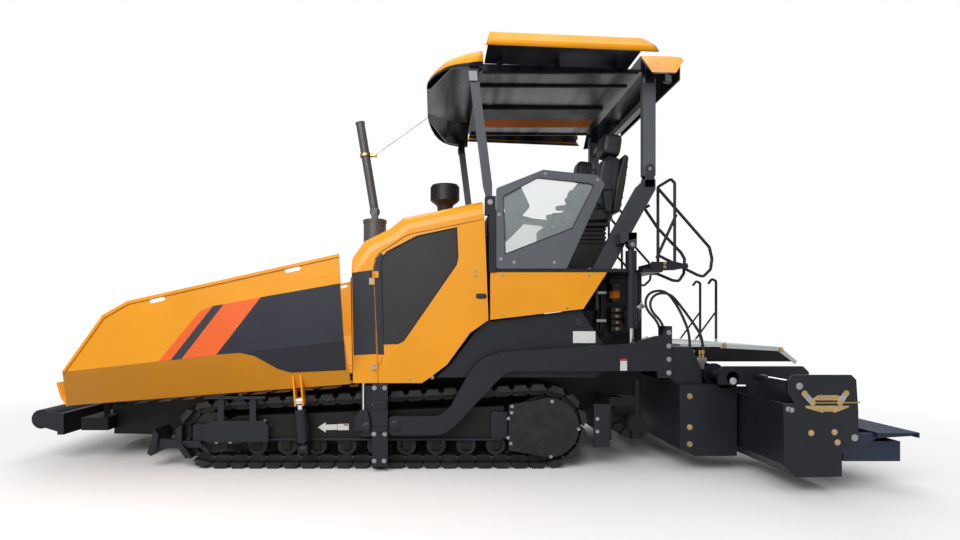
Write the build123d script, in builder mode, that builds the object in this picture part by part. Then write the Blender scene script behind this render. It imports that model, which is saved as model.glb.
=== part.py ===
"""Tracked asphalt paver: hopper at the front (-X), screed at the rear (+X), ground at Z = 0. Millimetres."""

from math import asin, atan2, cos, degrees, hypot, radians, sin, sqrt, tan
import os

from build123d import *

os.makedirs("parts", exist_ok=True)

# Rake of the body: the hopper and its hinges climb towards the rear.
rake = 4.35
rake_slope = tan(radians(rake))
rake_line = Vector(cos(radians(rake)), 0, sin(radians(rake)))
pin_fit = 0.05
seat_gap = 0.3

# Tracks.
track_gauge_half = 990
shoe_width = 320
chain_width = 140
shoe_pitch_wanted = 160
pitch_height = 75
idler_x = -2050
idler_pitch_radius = 235
sprocket_x = 1020
sprocket_teeth = 12
sprocket_pitch_radius = shoe_pitch_wanted / 2 / sin(radians(180 / sprocket_teeth))
idler_z = idler_pitch_radius + pitch_height
sprocket_z = sprocket_pitch_radius + pitch_height
track_inner = track_gauge_half - shoe_width / 2
track_outer = track_gauge_half + shoe_width / 2
roller_radius = 88
rail_height = 106
roller_count = 9
first_roller_x = -1630
roller_spacing = 275
roller_width = 130
frame_plate = 20
track_frame_half = 95
track_frame_bottom = 247
track_frame_top_front = 460
track_frame_top_rear = 575

# Main frame and conveyor.
frame_side = 715
frame_side_plate = 25
nose_x = -3110
nose_bottom = 240
floor_half = 575
floor_plate = 20
floor_front_x = -3240
floor_break_x = -600
floor_rear_x = 1480
slat_pitch = 240
slat_height = 22

# Hopper wings.
hinge_y = 612
hinge_bar = 22
wing_bottom_y = 1180
wing_wall_y = 1400
wing_plate = 10
wing_front_x = -3318
wing_front_z = 579
wing_drop = 45
crease_front = (-3218, 902)
crease_slope = 0.1115
top_front = (-2650, 1517)
top_slope = 0.2236
top_kink = (-2866, 1396)
wing_rear_x = -752
wing_rear_z = 774
wing_rear_lean = 3.63
lip_height = 26
lip_reach = 12
lug_stations = (-3130, -2000, -880)
lug_length = 70
lug_side_gap = 8

# Wing cylinders.
wing_pin_x = -1206
wing_pin_y = 1205
wing_pin_z = 623
wing_cylinder_length = 430
wing_barrel_radius = 55
wing_rod_radius = 27
wing_pin_radius = 20
wing_eye_radius = 42
wing_eye_width = 50
wing_slot = 13
ear_gap = 27
ear_plate = 15

# Front: bumper, push beam and rollers, apron.
bumper_x = -3366
bumper_bottom = 153
bumper_top = 419
push_axis_x = -3440
push_axis_z = 340
push_pin_radius = 30
push_fork_low = 270
push_fork_high = 470
push_shaft_radius = 25
roller_axis_x = -3720
roller_axis_z = 412
push_roller_radius = 90
push_roller_end = 950
push_roller_inner = 60
apron_hinge_x = -3290
apron_hinge_z = 560
apron_bar_z = 550
apron_bar_radius = 20
apron_half = 560
apron_height = 250

# Hood and doors.
hood_half = 1200
hood_wall = 25
hood_edge_radius = 130
hood_front_x = -729
hood_bottom_z = 785
hood_top_front_x = -742
door_thickness = 20
bulkhead_plate = 12

# Deck, screens and pillars.
deck_z = 1784
deck_plate = 30
deck_front_x = 505
deck_rear_x = 2060
deck_half = 1200
screen_y = 1200
glass_thickness = 8

# Canopy.
rear_pivot_x = 2017
rear_pivot_z = 2765
rear_post_y = 950
rear_post_width = 118
rear_post_depth = 70
roof_pivot_z = 3610
front_pivot_x = 504
front_pivot_z = 2411
front_top_x = 360
front_top_z = 3548
front_post_y = 1175
front_post_width = 80
front_post_depth = 50
front_post_foot_width = 50
post_pin_radius = 16
post_side_gap = 2
post_ear = 12
roof_sheet = 20
bay_front_x = 440
bay_rear_x = 1955

# Lift cylinders.
lift_y = 1090
lift_pin_x = 1810
lift_pin_z = 2040
lift_rod_end_z = 1105
lift_barrel_low = 1275
lift_rod_top = 1830
lift_barrel_radius = 50
lift_bore_radius = 40
lift_rod_radius = 19
lift_pin_radius = 20
lift_eye_radius = 40
lift_eye_width = 60

# Tow arms and screed.
tow_arm_outer = 1232
tow_arm_plate = 50
tow_pivot_x = -345
tow_pivot_z = 406
tow_pin_radius = 30
screed_half = 1250
screed_front_x = 2190
screed_rear_x = 2700
screed_bottom = 140
screed_top = 775
screed_wall = 12
crown_gap = 6
guide_axis_x = 2600
guide_axis_z = 850
housing_radius = 110
housing_half = 700
middle_tube_radius = 90
inner_tube_radius = 70

# Screed extensions.
extension_end_y = -1905
extension_length = 1200
extension_front_x = 2735
extension_rear_x = 3180
extension_bottom = 135
extension_top = 700
extension_wall = 15
gate_outer = 1930

# Augers.
auger_x = 1870
auger_z = 400
auger_radius = 175
auger_shaft = 45
auger_end = 1047.7
auger_inner = 45.3
auger_pitch = 300


def left(y):
    """Plane seen from the machine's left side, sketch x along X and sketch y up, at a given y."""
    return Plane.XZ.offset(-y)


def plate(outline, near, far, mode=Mode.ADD):
    """Flat piece with an outline of (x, z) points, from y = near to y = far."""
    with BuildSketch(left(far)) as face:
        with BuildLine():
            Polyline(*outline, close=True)
        make_face()
    extrude(face.sketch, amount=far - near, mode=mode)


def rounded_plate(outline, radius, near, far, mode=Mode.ADD):
    """Flat piece like plate, with its corners rounded."""
    with BuildSketch(left(far)) as face:
        with BuildLine():
            FilletPolyline(*outline, radius=radius, close=True)
        make_face()
    extrude(face.sketch, amount=far - near, mode=mode)


def block(x, y, z, mode=Mode.ADD):
    """Straight block between pairs of x, y and z."""
    with Locations(((x[0] + x[1]) / 2, (y[0] + y[1]) / 2, (z[0] + z[1]) / 2)):
        Box(x[1] - x[0], y[1] - y[0], z[1] - z[0], mode=mode)


def bar_across(x, z, radius, near, far, mode=Mode.ADD):
    """Round bar along Y."""
    with BuildSketch(left(far)) as face:
        with Locations((x, z)):
            Circle(radius)
    extrude(face.sketch, amount=far - near, mode=mode)


def bar_between(start, end, radius, mode=Mode.ADD):
    """Round bar from one point to another."""
    run = Vector(*end) - Vector(*start)
    with BuildSketch(Plane(origin=start, z_dir=run)) as face:
        Circle(radius)
    extrude(face.sketch, amount=run.length, mode=mode)


def bent_tube(route, bend, radius):
    """Round tube along straight runs joined by arcs."""
    with BuildLine() as path:
        FilletPolyline(*route, radius=bend)
    with BuildSketch(Plane(origin=path.line @ 0, z_dir=path.line % 0)) as face:
        Circle(radius)
    sweep(face.sketch, path=path.line)


def raked_plate(outline, origin, offset, thickness):
    """Flat piece square to the wing's hinge line; outline is (across, up) from a pin."""
    place = Plane(origin=origin + rake_line * offset, x_dir=(0, 1, 0), z_dir=rake_line)
    with BuildSketch(place) as face:
        with BuildLine():
            Polyline(*outline, close=True)
        make_face()
    extrude(face.sketch, amount=thickness)


def save(part, name):
    part.label = name
    export_step(part, f"parts/{name}.step")


def save_pair(part, name):
    """The left piece as built and its mirror image on the right."""
    save(part, name + "_left")
    with BuildPart() as other:
        mirror(part, about=Plane.XZ)
    save(other.part, name + "_right")


def hinge_height(x):
    """Height of the wing hinge line."""
    return wing_front_z - wing_drop + (x - wing_front_x) * rake_slope


def floor_height(x):
    """Upper face of the conveyor floor: raked under the hopper, level behind it."""
    return hinge_height(min(x, floor_break_x)) - 60


# Track path
def track_path():
    """Straights and arcs of the chain's pitch line, from under the sprocket forward and round."""
    rise = sprocket_z - idler_z
    gap = sprocket_x - idler_x
    centres = hypot(gap, rise)
    top_angle = degrees(atan2(rise, gap)) + degrees(asin((sprocket_pitch_radius - idler_pitch_radius) / centres))
    straight = centres * cos(asin((sprocket_pitch_radius - idler_pitch_radius) / centres))
    idler_arc = radians(180 - top_angle) * idler_pitch_radius
    sprocket_arc = radians(180 + top_angle) * sprocket_pitch_radius
    return gap, idler_arc, straight, sprocket_arc, top_angle


def track_point(length):
    """Point on the pitch line at a distance along it, (x, z)."""
    gap, idler_arc, straight, sprocket_arc, top_angle = track_path()
    length %= gap + idler_arc + straight + sprocket_arc
    if length < gap:
        return sprocket_x - length, pitch_height
    length -= gap
    if length < idler_arc:
        turn = radians(270) - length / idler_pitch_radius
        return idler_x + idler_pitch_radius * cos(turn), idler_z + idler_pitch_radius * sin(turn)
    length -= idler_arc
    if length < straight:
        turn = radians(90 + top_angle)
        start_x = idler_x + idler_pitch_radius * cos(turn)
        start_z = idler_z + idler_pitch_radius * sin(turn)
        slope = radians(top_angle)
        return start_x + length * cos(slope), start_z + length * sin(slope)
    length -= straight
    turn = radians(90 + top_angle) - length / sprocket_pitch_radius
    return sprocket_x + sprocket_pitch_radius * cos(turn), sprocket_z + sprocket_pitch_radius * sin(turn)


def track_links():
    """Centre, direction and length of every link."""
    gap, idler_arc, straight, sprocket_arc, top_angle = track_path()
    loop = gap + idler_arc + straight + sprocket_arc
    count = round(loop / shoe_pitch_wanted)
    for number in range(count):
        here = track_point(number * loop / count)
        there = track_point((number + 1) * loop / count)
        middle = ((here[0] + there[0]) / 2, (here[1] + there[1]) / 2)
        angle = degrees(atan2(there[1] - here[1], there[0] - here[0]))
        yield middle, angle, hypot(there[0] - here[0], there[1] - here[1])


# A shoe and a link, along the track and inward from the pitch line (the walk keeps the loop on its right).
pad_section = [(-75, -22), (-75, -42), (-58, -46), (-50, -75), (50, -75), (58, -46), (75, -42), (75, -22)]
link_inner = 31
link_scallop = 14

with BuildPart() as track_loops:
    with BuildSketch(left(-track_inner)) as pads:
        for middle, angle, length in track_links():
            with BuildLine(Plane(origin=(middle[0], middle[1], 0)).rotated((0, 0, angle + 180))):
                Polyline(*[(along, up) for along, up in pad_section], close=True)
            make_face()
    extrude(pads.sketch, amount=shoe_width)
    with BuildSketch(left(-track_gauge_half + chain_width / 2)) as chain:
        for middle, angle, length in track_links():
            half = length / 2 + 0.5
            link = [(-half, -28), (half, -28), (half, link_scallop), (half - 30, link_inner)]
            link += [(30 - half, link_inner), (-half, link_scallop)]
            with BuildLine(Plane(origin=(middle[0], middle[1], 0)).rotated((0, 0, angle + 180))):
                Polyline(*link, close=True)
            make_face()
    extrude(chain.sketch, amount=chain_width)
    mirror(about=Plane.XZ)
save(track_loops.part, "track_loops")


# Track frames: an inverted channel each side, with its cross tubes to the main frame
def track_frame_top(x):
    """Upper edge of a track frame, rising with the top run."""
    share = (x - idler_x) / (sprocket_x - idler_x)
    return track_frame_top_front + share * (track_frame_top_rear - track_frame_top_front)


track_frame_front_x = -1790
track_frame_rear_x = 640
cross_tube_stations = (-1480, 250)
cross_tube_radius = 60
frame_outer = -track_gauge_half - track_frame_half
frame_inner = -track_gauge_half + track_frame_half
roller_z = pitch_height + link_inner + roller_radius + seat_gap

with BuildPart() as track_frames:
    cheek = [(track_frame_front_x, track_frame_bottom), (track_frame_rear_x, track_frame_bottom)]
    cheek += [(track_frame_rear_x, track_frame_top(track_frame_rear_x))]
    cheek += [(track_frame_front_x, track_frame_top(track_frame_front_x))]
    plate(cheek, frame_outer, frame_outer + frame_plate)
    plate(cheek, frame_inner - frame_plate, frame_inner)
    web = [(track_frame_front_x, 300), (track_frame_rear_x, 300)] + cheek[2:]
    plate(web, frame_outer, frame_inner)
    fork = [(track_frame_front_x, 330), (-2130, 290), (-2180, 330), (-2130, 370)]
    fork += [(track_frame_front_x, track_frame_top(track_frame_front_x))]
    plate(fork, frame_outer, frame_outer + frame_plate)
    plate(fork, frame_inner - frame_plate, frame_inner)
    for station in cross_tube_stations:
        bar_across(station, 385, cross_tube_radius, frame_inner, -frame_side)
    for number in range(roller_count):
        x = first_roller_x + number * roller_spacing
        for near in (frame_outer, frame_inner - frame_plate):
            block((x - 32, x + 32), (near, near + frame_plate), (roller_z - 32, track_frame_bottom))
    mirror(about=Plane.XZ)
save(track_frames.part, "track_frames")

# Track wheels: idler, sprocket with its drive housing, and the row of rollers
sprocket_tooth = 30
drive_cover_radius = 270
drive_cover_reach = 340
drive_cover_shift = (30, -12)
drive_cover_y = -1120
idler_tread = sqrt(idler_pitch_radius**2 - (shoe_pitch_wanted / 2 + 1) ** 2) - link_inner - seat_gap
sprocket_root = sqrt(sprocket_pitch_radius**2 - (shoe_pitch_wanted / 2 + 1) ** 2) - link_inner - seat_gap
stub_radius = 30
axle_radius = 22

with BuildPart() as track_wheels:
    bar_across(idler_x, idler_z, idler_tread, -track_gauge_half - 50, -track_gauge_half + 50)
    bar_across(idler_x, idler_z, 120, -track_gauge_half - 70, -track_gauge_half + 70)
    bar_across(idler_x, idler_z, stub_radius, frame_outer + frame_plate, frame_inner - frame_plate)
    for number in range(roller_count):
        x = first_roller_x + number * roller_spacing
        bar_across(x, roller_z, roller_radius, -track_gauge_half - roller_width / 2, -track_gauge_half - 20)
        bar_across(x, roller_z, roller_radius, -track_gauge_half + 20, -track_gauge_half + roller_width / 2)
        bar_across(x, roller_z, roller_radius - 20, -track_gauge_half - 20, -track_gauge_half + 20)
        bar_across(x, roller_z, axle_radius, frame_outer + frame_plate, frame_inner - frame_plate)
    bar_across(sprocket_x, sprocket_z, sprocket_root, -track_gauge_half - 30, -track_gauge_half + 30)
    bar_across(sprocket_x, sprocket_z, 190, drive_cover_y + 20, -frame_side)
    with BuildSketch(left(drive_cover_y + 20)) as cover:
        centre_x = sprocket_x + drive_cover_shift[0]
        centre_z = sprocket_z + drive_cover_shift[1]
        with Locations((centre_x, centre_z)):
            Circle(drive_cover_radius)
        with BuildLine():
            Polyline((centre_x, centre_z + drive_cover_radius), (sprocket_x - drive_cover_reach, 580),
                     (sprocket_x - drive_cover_reach, 165), (centre_x, centre_z - drive_cover_radius), close=True)
        make_face()
    extrude(cover.sketch, amount=40)
    mirror(about=Plane.XZ)
save(track_wheels.part, "track_wheels")

# Main frame
nose_top = hinge_height(nose_x) - 35
with BuildPart() as main_frame:
    side = [(nose_x, nose_bottom), (-2350, 210), (1250, 260), (1480, 420), (1600, 640), (2040, 640)]
    side += [(2040, 1290), (1560, 1120), (300, 1090), (hood_front_x, hinge_height(hood_front_x) - 35), (nose_x, nose_top)]
    plate(side, -frame_side, -frame_side + frame_side_plate)
    mirror(about=Plane.XZ)
    inner = frame_side - frame_side_plate
    block((nose_x, nose_x + 30), (-inner, inner), (nose_bottom, nose_top - 75))
    for station in (-2400, -1480, -720, 250, 1150):
        under = floor_height(station) - floor_plate
        block((station - 60, station + 60), (-inner, inner), (270, under - 20))
        under_far = floor_height(station + 60) - floor_plate
        plate([(station - 60, under - 30), (station + 60, under - 30), (station + 60, under_far),
               (station - 60, floor_height(station - 60) - floor_plate)], -floor_half, floor_half)
    block((2010, 2040), (-inner, inner), (900, 1270))
    for station in lug_stations:
        centre = hinge_height(station)
        for hand in (-1, 1):
            lug = [(station - lug_length / 2, centre - 120), (station + lug_length / 2, centre - 120),
                   (station + lug_length / 2, centre + 34), (station - lug_length / 2, centre + 34)]
            plate(lug, hand * hinge_y - 36, hand * hinge_y + 36)
            plate([(station - lug_length / 2, centre - 120), (station + lug_length / 2, centre - 120),
                   (station + lug_length / 2, centre - 60), (station - lug_length / 2, centre - 60)],
                  min(hand * hinge_y, hand * inner), max(hand * hinge_y, hand * inner))
            start = Vector(station, hand * hinge_y, centre) - rake_line * lug_length
            stop = Vector(station, hand * hinge_y, centre) + rake_line * lug_length
            bar_between(start, stop, hinge_bar + pin_fit, Mode.SUBTRACT)
    for near in (-frame_side, inner):
        block((hood_front_x - 15, hood_front_x + hood_wall), (near, near + frame_side_plate), (640, hood_bottom_z))
    block((bumper_x, nose_x), (-300, 300), (bumper_bottom, bumper_top))
    block((bumper_x, nose_x), (-880, 880), (bumper_top - 120, bumper_top))
    # Ears for the apron's bar, tongue and pin for the push beam.
    for near in (-apron_half - 22, apron_half + 2):
        block((apron_hinge_x - 28, apron_hinge_x + 28), (near, near + 20), (bumper_top, apron_bar_z + 28))
    bar_across(apron_hinge_x, apron_bar_z, apron_bar_radius + pin_fit, -700, 700, Mode.SUBTRACT)
    block((push_axis_x - 34, bumper_x), (-90, 90), (push_axis_z - 9, push_axis_z + 89))
    bar_between((push_axis_x, 0, push_fork_low), (push_axis_x, 0, push_fork_high), push_pin_radius)
save(main_frame.part, "main_frame")

# Conveyor floor with its slat bars
with BuildPart() as conveyor:
    run = [(x, floor_height(x)) for x in (floor_front_x, floor_break_x, floor_rear_x)]
    plate(run + [(x, z - floor_plate) for x, z in reversed(run)], -floor_half, floor_half)
    count = int((floor_rear_x - floor_front_x - 100) / slat_pitch)
    for number in range(count):
        x = floor_front_x + 100 + number * slat_pitch
        z = floor_height(x)
        for near, far in ((-floor_half + 40, -40), (40, floor_half - 40)):
            plate([(x, z - 4), (x + 40, floor_height(x + 40) - 4), (x + 40, floor_height(x + 40) + slat_height),
                   (x, z + slat_height)], near, far)
    guard = run + [(x, z + 60) for x, z in reversed(run)]
    plate(guard, -30, 30)
save(conveyor.part, "conveyor")

# Hopper bulkhead between the wings and the hood, open where the conveyor passes
bulkhead_top = 1740
bulkhead_half = 1120
tunnel_height = 300
with BuildPart() as hopper_bulkhead:
    foot_x = hood_front_x - 3
    top_x = foot_x - 19
    sheet = [(foot_x, hood_bottom_z), (top_x, bulkhead_top), (top_x - bulkhead_plate, bulkhead_top)]
    sheet += [(foot_x - bulkhead_plate, hood_bottom_z)]
    plate(sheet, -bulkhead_half, bulkhead_half)
    throat = floor_height(hood_front_x) + tunnel_height
    block((-900, -600), (-floor_half, floor_half), (500, throat), Mode.SUBTRACT)
save(hopper_bulkhead.part, "hopper_bulkhead")


# Hopper wings
def wing_bottom(x):
    return wing_front_z + (x - wing_front_x) * rake_slope


def wing_crease(x):
    return crease_front[1] + (x - crease_front[0]) * crease_slope


def wing_top(x):
    return top_front[1] + (x - top_front[0]) * top_slope


def wing_section(x):
    """Floor, sloping lower panel and upright wall as one bent plate, as (y, z) points."""
    low = wing_bottom(x)
    outside = [(-hinge_y, hinge_height(x)), (-wing_bottom_y, low), (-wing_wall_y, wing_crease(x)), (-wing_wall_y, wing_top(x))]
    inside = [(-wing_wall_y + wing_plate, wing_top(x)), (-wing_wall_y + wing_plate, wing_crease(x) + 2)]
    inside += [(-wing_bottom_y + 3, low + wing_plate), (-hinge_y, hinge_height(x) + wing_plate)]
    return outside + inside


with BuildPart() as wing_left:
    for station in (wing_front_x - 20, -700):
        with BuildSketch(Plane.YZ.offset(station)):
            with BuildLine():
                Polyline(*wing_section(station), close=True)
            make_face()
    loft(ruled=True)
    # Sloping front edge, then the rear edge square to the hinge.
    front_cut = [(wing_front_x, wing_front_z - 60), (wing_front_x, wing_front_z), crease_front, top_kink, top_front]
    front_cut += [(top_front[0], 2100), (-3500, 2100), (-3500, wing_front_z - 60)]
    plate(front_cut, -1500, -500, Mode.SUBTRACT)
    lean = tan(radians(wing_rear_lean))
    rear_cut = [(wing_rear_x - (z - wing_rear_z) * lean, z) for z in (500, 2100)] + [(-400, 2100), (-400, 500)]
    plate(rear_cut, -1500, -500, Mode.SUBTRACT)
    # Folded lip along the front and top edges.
    top_rear_x = wing_rear_x - (wing_top(-825) - wing_rear_z) * lean
    edge = [crease_front, top_kink, top_front, (top_rear_x, wing_top(top_rear_x))]
    inset = [(top_rear_x, wing_top(top_rear_x) - lip_height), (top_front[0] + 4, top_front[1] - lip_height)]
    inset += [(top_kink[0] + 12, top_kink[1] - lip_height), (crease_front[0] + 26, crease_front[1])]
    plate(edge + inset, -wing_wall_y - lip_reach, -wing_wall_y + wing_plate + lip_reach)
    # Two slots under the top edge.
    with BuildSketch(left(-wing_wall_y + 30)) as slots:
        for x in (-2398, -1225):
            with Locations((x, wing_top(x) - 48)):
                SlotOverall(140, 34, rotation=degrees(atan2(top_slope, 1)))
    extrude(slots.sketch, amount=60, mode=Mode.SUBTRACT)
    # Hinge bar along the inner edge, and room round the bearing lugs.
    for station in lug_stations:
        block((station - lug_length / 2 - lug_side_gap, station + lug_length / 2 + lug_side_gap),
              (-hinge_y - 60, -hinge_y + 60), (300, 900), Mode.SUBTRACT)
    bar_start = Vector(wing_front_x + 40, -hinge_y, hinge_height(wing_front_x + 40))
    bar_stop = Vector(wing_rear_x - 40, -hinge_y, hinge_height(wing_rear_x - 40))
    bar_between(bar_start, bar_stop, hinge_bar)
    # Clevis for the wing cylinder under the lower panel.
    wing_rod_pin = Vector(wing_pin_x, -wing_pin_y, wing_pin_z)
    clevis_rise = wing_bottom(wing_pin_x) - wing_pin_z
    ear = [(-45, -38), (45, -38), (45, clevis_rise + 5), (wing_pin_y - wing_bottom_y, clevis_rise + 5)]
    ear += [(-45, clevis_rise + 5 + 1.75 * (wing_pin_y + 45 - wing_bottom_y))]
    for side in (-ear_gap - ear_plate, ear_gap):
        raked_plate(ear, wing_rod_pin, side, ear_plate)
    bar_between(wing_rod_pin - rake_line * 46, wing_rod_pin + rake_line * 46, wing_pin_radius)
    # Dark curved flap that closes the front of the floor.
    flap = [(wing_front_x, wing_front_z - 6), (wing_front_x - 55, wing_front_z + 70), (wing_front_x - 95, wing_front_z + 205)]
    flap += [(wing_front_x - 75, wing_front_z + 210), (wing_front_x - 35, wing_front_z + 80), (wing_front_x + 20, wing_front_z + 6)]
    plate(flap, -wing_bottom_y, -hinge_y - 90)
save_pair(wing_left.part, "wing")

# Wing cylinders: barrel below, rod above, both square to the wing's hinge line
down = Vector(sin(radians(rake)), 0, -cos(radians(rake)))
wing_barrel_pin = wing_rod_pin + down * wing_cylinder_length


def eye(centre, direction, outer, hole, width):
    """Ring on a pin: outer radius, bore and width along the pin."""
    with BuildSketch(Plane(origin=centre - direction * (width / 2), z_dir=direction)) as ring:
        Circle(outer)
    extrude(ring.sketch, amount=width)
    with BuildSketch(Plane(origin=centre - direction * width, z_dir=direction)) as bore:
        Circle(hole)
    extrude(bore.sketch, amount=2 * width, mode=Mode.SUBTRACT)


with BuildPart() as wing_barrel:
    bar_between(wing_barrel_pin, wing_barrel_pin - down * 75, 22)
    foot = wing_barrel_pin - down * 65
    mouth = wing_rod_pin + down * 75
    bar_between(foot, mouth, wing_barrel_radius)
    bar_between(wing_barrel_pin - down * 72, mouth - down * 10, wing_rod_radius + 1, Mode.SUBTRACT)
    eye(wing_barrel_pin, rake_line, wing_eye_radius, wing_pin_radius + pin_fit, wing_eye_width)
save_pair(wing_barrel.part, "wing_barrel")

with BuildPart() as wing_rod:
    bar_between(wing_barrel_pin - down * 78, wing_rod_pin + down * 20, wing_rod_radius)
    eye(wing_rod_pin, rake_line, wing_eye_radius, wing_pin_radius + 1, wing_eye_width)
    # The eye is slotted outward.
    place = Plane(origin=wing_rod_pin - rake_line * wing_eye_width, x_dir=(0, 1, 0), z_dir=rake_line)
    with BuildSketch(place) as slot:
        with Locations((-wing_slot / 2, 0)):
            SlotCenterToCenter(wing_slot, 2 * (wing_pin_radius + 1))
    extrude(slot.sketch, amount=2 * wing_eye_width, mode=Mode.SUBTRACT)
save_pair(wing_rod.part, "wing_rod")

# Track guards: outer bracket plate with the lower lugs of the wing cylinder, front scraper arm
with BuildPart() as track_guards:
    guard_y = -track_outer - 8
    outline = [(-2060, 247), (-2060, 410), (-1960, 440), (-1560, 440), (-1500, 400), (-1500, 247)]
    plate(outline, guard_y - 14, guard_y)
    block((-2040, -1520), (guard_y, frame_outer), (300, 400))
    for x in (-1930, -1640):
        block((x - 28, x + 28), (guard_y - 14, guard_y), (430, 655))
    block((-2070, -1520), (guard_y - 40, guard_y), (640, 664))
    ear = [(-45, -45), (wing_pin_y + frame_outer, -45), (wing_pin_y + frame_outer, 60), (60, 60), (20, 42), (-45, 42)]
    for side in (-ear_gap - ear_plate, ear_gap):
        raked_plate(ear, wing_barrel_pin, side, ear_plate)
    bar_between(wing_barrel_pin - rake_line * 46, wing_barrel_pin + rake_line * 46, wing_pin_radius)
    mirror(about=Plane.XZ)
save(track_guards.part, "track_guards")

# Front apron, push beam and push rollers
with BuildPart() as front_apron:
    lean_x = -120
    leaf = [(apron_hinge_x - 14, apron_hinge_z), (apron_hinge_x - 60, apron_hinge_z + 100)]
    leaf += [(apron_hinge_x + lean_x, apron_hinge_z + apron_height), (apron_hinge_x + lean_x + 16, apron_hinge_z + apron_height)]
    leaf += [(apron_hinge_x - 42, apron_hinge_z + 100), (apron_hinge_x + 10, apron_hinge_z)]
    plate(leaf, -apron_half, apron_half)
    bar_across(apron_hinge_x, apron_bar_z, apron_bar_radius, -apron_half - 20, apron_half + 20)
save(front_apron.part, "front_apron")

with BuildPart() as push_beam:
    fork_gap = 2
    block((push_axis_x - 70, push_axis_x + 45), (-100, 100), (push_fork_low, push_axis_z - 9 - fork_gap))
    block((push_axis_x - 70, push_axis_x + 45), (-100, 100), (push_axis_z + 89 + fork_gap, push_fork_high))
    with BuildSketch(Plane.XY.offset(200)) as pin_hole:
        with Locations((push_axis_x, 0)):
            Circle(push_pin_radius + pin_fit)
    extrude(pin_hole.sketch, amount=300, mode=Mode.SUBTRACT)
    block((push_axis_x - 110, push_axis_x - 50), (-push_roller_end, push_roller_end), (push_fork_low, push_fork_high))
    arm = [(push_axis_x - 50, 280), (push_axis_x - 50, 470), (roller_axis_x + 40, 480), (roller_axis_x - 50, 445),
           (roller_axis_x - 50, 379), (roller_axis_x + 40, 340)]
    for near in (-push_roller_end, -10, push_roller_end - 20):
        plate(arm, near, near + 20)
    bar_across(roller_axis_x, roller_axis_z, push_shaft_radius, -push_roller_end, push_roller_end)
save(push_beam.part, "push_beam")

with BuildPart() as push_roller:
    bar_across(roller_axis_x, roller_axis_z, push_roller_radius, -push_roller_end + 26, -16)
    bar_across(roller_axis_x, roller_axis_z, push_shaft_radius + pin_fit, -push_roller_end, 0, Mode.SUBTRACT)
save_pair(push_roller.part, "push_roller")

# Tow-point guides: a channel on the track frame's outer side, open to the rear, with the sliding blocks
guide_front_x = -548
guide_rear_x = -412
guide_bottom = 45
guide_top = 779
guide_inner_y = -track_outer - 8
guide_depth = 79
guide_plate = 22
guide_rail = 16
slider_half = 90
with BuildPart() as tow_guides:
    outer_y = guide_inner_y - guide_depth
    block((guide_front_x, guide_rear_x), (outer_y - guide_plate, outer_y), (guide_bottom, guide_top))
    block((guide_front_x, guide_front_x + guide_rail), (outer_y, guide_inner_y), (guide_bottom, guide_top))
    for z in (guide_bottom, guide_top - guide_rail):
        block((guide_front_x, guide_rear_x), (outer_y, guide_inner_y), (z, z + guide_rail))
    block((guide_front_x - 110, guide_front_x + guide_rail), (guide_inner_y - 14, guide_inner_y), (300, 760))
    block((guide_front_x - 110, guide_front_x + guide_rail), (guide_inner_y, frame_outer), (300, 420))
    mirror(about=Plane.XZ)
save(tow_guides.part, "tow_guides")

with BuildPart() as tow_points:
    outer_y = guide_inner_y - guide_depth
    slider_x = (guide_front_x + guide_rail + seat_gap, guide_rear_x - 2)
    block(slider_x, (outer_y + seat_gap, guide_inner_y - 2), (tow_pivot_z - slider_half, tow_pivot_z + slider_half))
    tongue = (-tow_arm_outer + tow_arm_plate + 3, guide_inner_y - 2)
    block((slider_x[0], tow_pivot_x + 45), tongue, (tow_pivot_z - 60, tow_pivot_z + 60))
    bar_across(tow_pivot_x, tow_pivot_z, tow_pin_radius, -tow_arm_outer - 12, tongue[1])
    mirror(about=Plane.XZ)
save(tow_points.part, "tow_points")

# Tow arms
with BuildPart() as tow_arms:
    arm = [(-404, 345), (-380, 321), (9, 321), (95, 340), (175, 390), (560, 800), (620, 860), (681, 895), (2000, 895), (2000, 832),
           (2130, 832), (2130, 1298), (2075, 1298), (2040, 1209), (1990, 1209), (1757, 1141), (592, 1065), (440, 1010),
           (340, 915), (278, 814), (150, 580), (60, 505), (0, 491), (-380, 491), (-404, 467)]
    rounded_plate(arm, 12, -tow_arm_outer, -tow_arm_outer + tow_arm_plate)
    bar_across(tow_pivot_x, tow_pivot_z, tow_pin_radius + pin_fit, -1400, -900, Mode.SUBTRACT)
    heel = [(2070, 832), (2130, 832), (2130, 1298), (2070, 1298)]
    plate(heel, -tow_arm_outer, -1060)
    bar_across(lift_pin_x, lift_rod_end_z, lift_pin_radius, -tow_arm_outer - 5, -lift_y + 40)
    cheek = [(2130, 832), (2190, screed_top), (2420, screed_top), (2420, 900), (2330, 1110), (2130, 1110)]
    plate(cheek, -1180, -1120)
    mirror(about=Plane.XZ)
save(tow_arms.part, "tow_arms")

# Augers
def auger_flights(turns, hand):
    """Screw flight round the shaft as short flat sectors, stepping along Y."""
    steps = 10
    for number in range(int(turns * steps)):
        angle = number * 360 / steps
        start = -auger_inner - 30 - number * auger_pitch / steps
        points = [(auger_x, auger_z)]
        for share in (-0.56, 0, 0.56):
            turn = radians(hand * angle + share * 360 / steps)
            points.append((auger_x + auger_radius * cos(turn), auger_z + auger_radius * sin(turn)))
        plate(points, start - auger_pitch / steps - 2, start)


with BuildPart() as auger_left:
    bar_across(auger_x, auger_z, auger_shaft, -auger_end, -auger_inner)
    auger_flights(3, 1)
    bar_across(auger_x, auger_z, 86, -auger_end, -auger_end + 60)
save_pair(auger_left.part, "auger")

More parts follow.
